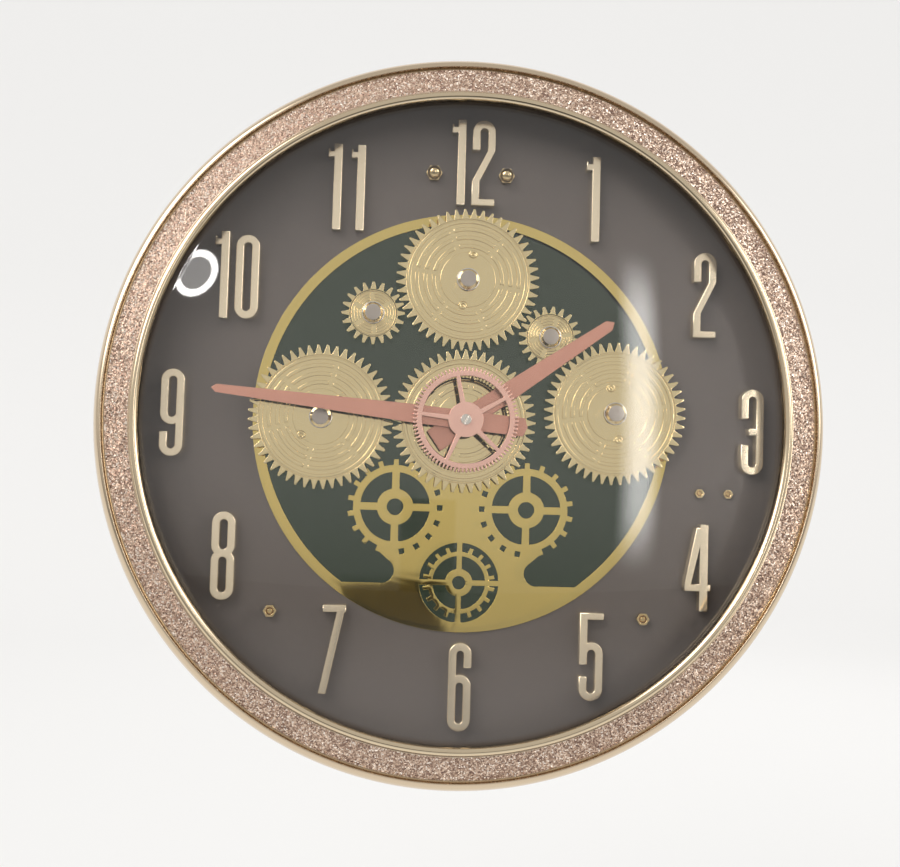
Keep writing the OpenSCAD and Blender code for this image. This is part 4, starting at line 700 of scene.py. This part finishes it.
def make_gear(name, bore_r, hub_r, root_r, edge, pips):
    """A stamped gear: its raised face and teeth from the CAD outlines, with soft edges, the sunk face with
    the hub behind it, and the two pips of a large gear."""
    hub_back, pip_front = depth(name)
    play, overlap, back_edge, soft = 0.02, 0.9, 0.1, 0.3
    face_back, pip_back = gear_back + 0.04, gear_floor - 0.2
    face = front_loops(name, gear_front)
    mesh = sheet_mesh(name + "_stamped", face, edge, face_back, gear_front, back_edge)
    if pips:
        rings = front_loops(name, pip_front)
        mesh = joined(mesh, sheet_mesh(name + "_pips", rings, PIP_EDGE, pip_back, pip_front, back_edge))
    bore_r, rim_r = bore_r + play, root_r - overlap
    hub = [[bore_r, hub_back], [bore_r, gear_floor], [rim_r, gear_floor], [rim_r, gear_back],
           [hub_r + soft, gear_back], [hub_r, gear_back - soft], [hub_r, hub_back + soft],
           [hub_r - soft, hub_back]]
    mesh = joined(mesh, mesh_of(name + "_hub", [spun(hub, 192, axis_of(name + "_spin"))]))
    mesh.set_sharp_from_angle(angle=math.radians(40))
    shown(name + "_stamped", mesh, body_of_node(name), "gear_gold", [name])


def make_gears():
    make_gear("centre_gear", centre_bore_r, big_hub_r, big_root_r, GEAR_EDGE, pips=True)
    for name in ("top_gear", "left_gear", "right_gear"):
        make_gear(name, post_bore_r, big_hub_r, big_root_r, GEAR_EDGE, pips=True)
    for name in ("small_left_gear", "small_right_gear"):
        make_gear(name, post_bore_r, small_hub_r, small_root_r, SMALL_GEAR_EDGE, pips=False)


def make_caps():
    """Turned caps: a bright flange, a step and a tapered knob with a flat top."""
    low, high = depth("gear_caps")
    step, inside = low + 1.4, high - 1.5
    hole_r = 3.02
    surfaces = []
    for gear, r in (("top_gear", 7.9), ("left_gear", 7.9), ("right_gear", 7.9), ("small_left_gear", 7.7),
                    ("small_right_gear", 7.7)):
        top_r, knob_r = 0.71 * r, 0.92 * r
        profile = [
            [0, high], [top_r - 0.45, high], [top_r - 0.12, high - 0.1], [top_r, high - 0.4],
            [knob_r - 0.05, step + 0.15], [knob_r + 0.12, step], [r - 0.25, step],
            [r - 0.06, step - 0.08], [r, step - 0.3], [r, low + 0.25], [r - 0.25, low],
            [hole_r, low], [hole_r, inside], [0, inside]]
        surfaces.append(spun(profile, 96, axis_of(gear + "_spin")))
    mesh = mesh_of("cap_set", surfaces)
    mesh.set_sharp_from_angle(angle=math.radians(35))
    shown("cap_set", mesh, "clock", "cap_chrome", ["gear_caps"])


make_bezel()
make_bead()
make_glitter()
make_lens()
make_gears()
make_caps()
for number in range(1, 13):
    cut_sheet(f"numeral_{number}", NUMERAL_EDGE)
cut_sheet("skeleton_plate", PLATE_EDGE, back_edge=0.05)
softened_copy("hour_hand", 0.55, 3)
softened_copy("minute_hand", 0.5, 3)
cut_sheet("second_wheel", WHEEL_EDGE)
for name, bevel, steps in (
        ("centre_screw", 0.3, 3), ("hex_nuts", 0.25, 2), ("dome_nuts", 0.3, 2), ("centre_nut", 0.4, 2),
        ("case_body", 0.5, 3), ("rear_cover", 0.5, 2), ("cover_walls", 0.3, 2), ("hanger_plate", 0.3, 2),
        ("bumpers", 0.5, 3), ("battery_door", 0.4, 2), ("battery_case", 0.4, 2), ("movement_case", 0.8, 3),
        ("movement_cover", 0.5, 3), ("time_set_knob", 0.25, 2), ("melody_button", 0.5, 3),
        ("volume_knob", 0.5, 3), ("movement_plate", 0.3, 2), ("speaker", 0.3, 2)):
    softened_copy(name, bevel, steps)


# ---- Stage, camera and lamps ----

PALE = (0.93, 0.925, 0.915, 1)


def seen_and_mirrored(tree):
    """1 for what the camera sees, also straight through a pane, and 1 for what shows in metal or glass."""
    rays = tree.nodes.new("ShaderNodeLightPath").outputs
    bounces = maths(tree, "SUBTRACT", rays["Ray Depth"], rays["Transmission Depth"])
    straight = maths(tree, "LESS_THAN", bounces, 0.5)
    through = maths(tree, "MULTIPLY", straight, rays["Is Transmission Ray"])
    seen = maths(tree, "MAXIMUM", rays["Is Camera Ray"], through)
    shone = maths(tree, "MAXIMUM", rays["Is Glossy Ray"], rays["Is Transmission Ray"])
    return seen, maths(tree, "SUBTRACT", shone, through, clamp=True)


def make_stage():
    """Plain pale floor that sweeps up into a backdrop: a strip along (y, z) points, in metres. What the
    clock mirrors of it fades into the room in front."""
    front_y, bend_y, floor_z, bend_r, top_z, half_width = -1.5, 2.2, -0.75, 1.4, 9.0, 14.0
    a = np.linspace(0, math.pi / 2, 25)
    bend = np.stack([bend_y + bend_r * np.sin(a), floor_z + bend_r - bend_r * np.cos(a)], 1)
    line = np.vstack([[[front_y, floor_z]], bend, [[bend_y + bend_r, top_z]]])
    corners = [(x, y, z) for y, z in line for x in (-half_width, half_width)]
    mesh = bpy.data.meshes.new("sweep")
    mesh.from_pydata(corners, [], [(i, i + 1, i + 3, i + 2) for i in range(0, len(corners) - 2, 2)])
    mesh.polygons.foreach_set("use_smooth", np.ones(len(mesh.polygons), bool))
    sweep = added("sweep", mesh)
    material, tree, shader, place, out = blank_finish("pale_sweep")
    join(tree, shader, {"Base Color": (0.62, 0.61, 0.595, 1), "Roughness": 0.9})
    seen, mirrored = seen_and_mirrored(tree)
    ahead = node(tree, "ShaderNodeSeparateXYZ", {0: place}).outputs["Y"]
    fade = ranged(tree, ahead, -1.45, -0.1, 0.12, 1.0)
    level = node(tree, "ShaderNodeMix", {0: mirrored, 2: 1.0, 3: fade}).outputs[0]
    shine = node(tree, "ShaderNodeEmission", {"Color": PALE, "Strength": level}).outputs[0]
    share = maths(tree, "MULTIPLY_ADD", seen, 0.75, mirrored)
    mix = node(tree, "ShaderNodeMixShader", {0: share, 1: shader.outputs[0], 2: shine})
    tree.links.new(mix.outputs[0], out.inputs[0])
    mesh.materials.append(material)


def make_camera():
    """The photograph's view, from the fit of its ellipses: place, aim and focal length."""
    camera = added("camera", bpy.data.cameras.new("camera"))
    right = (0.9985, -0.0473, 0.0293)
    up = (-0.0312, -0.0400, 0.9987)
    ahead = (0.0461, 0.9981, 0.0414)
    place = (-0.0397, -0.6666 - dial_w * MM, -0.0360 + AXIS_Z)
    rotation = Matrix([right, up, [-c for c in ahead]]).transposed().to_4x4()
    camera.matrix_world = Matrix.Translation(place) @ rotation
    camera.data.sensor_fit = "HORIZONTAL"
    camera.data.sensor_width = 36.0
    camera.data.lens = 38.34
    camera.data.clip_start = 0.01
    bpy.context.scene.camera = camera


def make_lamp(name, place, size, power):
    """A square soft lamp aimed at the clock. It isn't itself mirrored: what shines is in the room."""
    lamp = bpy.data.lights.new(name, "AREA")
    lamp.shape = "RECTANGLE"
    lamp.size = lamp.size_y = size
    lamp.energy = power
    made = added(name, lamp)
    turn = (Vector((0, 0, AXIS_Z)) - Vector(place)).to_track_quat("-Z", "Y")
    made.matrix_world = Matrix.Translation(place) @ turn.to_matrix().to_4x4()
    made.visible_glossy = False
    made.visible_transmission = False


def soft_box(tree, spot, middle, half, soft):
    """1 inside a box in the plane of spot, eased to 0 over soft outside it."""
    off = node(tree, "ShaderNodeVectorMath", {0: spot, 1: (*middle, 0.0)}, operation="SUBTRACT")
    size = node(tree, "ShaderNodeVectorMath", {0: off.outputs[0]}, operation="ABSOLUTE")
    over = node(tree, "ShaderNodeMapRange",
                {6: size.outputs[0], 7: (*half, 0.0), 8: (half[0] + soft[0], half[1] + soft[1], 1.0),
                 9: (1.0, 1.0, 1.0), 10: (0.0, 0.0, 0.0)},
                data_type="FLOAT_VECTOR", interpolation_type="SMOOTHSTEP")
    parts = node(tree, "ShaderNodeSeparateXYZ", {0: over.outputs[1]}).outputs
    return maths(tree, "MULTIPLY", parts["X"], parts["Y"])


def soft_glow(tree, way, aim, edge, core):
    """1 round a direction, eased to 0 where the cosine to it falls from core to edge."""
    aim = tuple(Vector(aim).normalized())
    cosine = node(tree, "ShaderNodeVectorMath", {0: way, 1: aim}, operation="DOT_PRODUCT")
    return ranged(tree, cosine.outputs["Value"], edge, core)


def make_world():
    """The room that the clock mirrors: grey and brighter upwards, with a ring lamp, a bright slit, two
    windows and a dark block low in front. u and v are the x and z of a direction divided by its part
    towards the front. What the camera sees behind the clock is pale, also straight through a pane."""
    world = bpy.data.worlds.new("room")
    bpy.context.scene.world = world
    world.use_nodes = True
    tree = world.node_tree
    tree.nodes.clear()
    out = tree.nodes.new("ShaderNodeOutputWorld")
    way = tree.nodes.new("ShaderNodeTexCoord").outputs["Generated"]
    parts = node(tree, "ShaderNodeSeparateXYZ", {0: way}).outputs
    ahead = maths(tree, "MAXIMUM", maths(tree, "MULTIPLY", parts["Y"], -1.0), 0.05)
    u = maths(tree, "DIVIDE", parts["X"], ahead)
    v = maths(tree, "DIVIDE", parts["Z"], ahead)
    spot = node(tree, "ShaderNodeCombineXYZ", {0: u, 1: v}).outputs[0]

    ring_middle, ring_r = (-0.567, 0.388, 0.0), 0.05
    distance = node(tree, "ShaderNodeVectorMath", {0: spot, 1: ring_middle}, operation="DISTANCE")
    off = distance.outputs["Value"]
    from_ring = maths(tree, "ABSOLUTE", maths(tree, "SUBTRACT", off, ring_r))
    ring = ranged(tree, from_ring, 0.003, 0.012, 1.0, 0.0)
    haze = ranged(tree, off, 0.03, 0.07, 1.0, 0.0)
    slit = soft_box(tree, spot, (0.45, 0.10), (0.004, 0.20), (0.058, 0.18))
    left_window = soft_glow(tree, way, (-0.75, -0.40, 0.55), 0.88, 0.96)
    right_window = soft_glow(tree, way, (0.85, -0.35, 0.35), 0.92, 0.98)
    level = ranged(tree, parts["Z"], -0.45, 0.02, 0.08, 0.6)
    for light, strength in (
            (ring, 30.0), (haze, 2.5), (slit, 6.0), (left_window, 4.0), (right_window, 3.0)):
        level = maths(tree, "MULTIPLY_ADD", light, strength, level)
    block = soft_box(tree, spot, (-0.01, -0.40), (0.05, 0.285), (0.012, 0.012))
    room = maths(tree, "MULTIPLY", level, ranged(tree, block, 0.0, 1.0, 1.0, 0.10, "LINEAR"))

    seen = seen_and_mirrored(tree)[0]
    shade = mixed(tree, seen, (1.0, 0.985, 0.965, 1), PALE)
    strength = node(tree, "ShaderNodeMix", {0: seen, 2: room, 3: 1.0}).outputs[0]
    back = node(tree, "ShaderNodeBackground", {"Color": shade, "Strength": strength})
    tree.links.new(back.outputs[0], out.inputs[0])


make_stage()
make_camera()
make_world()
make_lamp("key", (-0.9, -1.5, 1.35), 1.0, 20)
make_lamp("fill", (1.6, -1.2, 0.5), 1.2, 8)
make_lamp("rear", (0.8, 1.8, 1.0), 1.4, 25)
bpy.context.scene.view_settings.view_transform = "Standard"
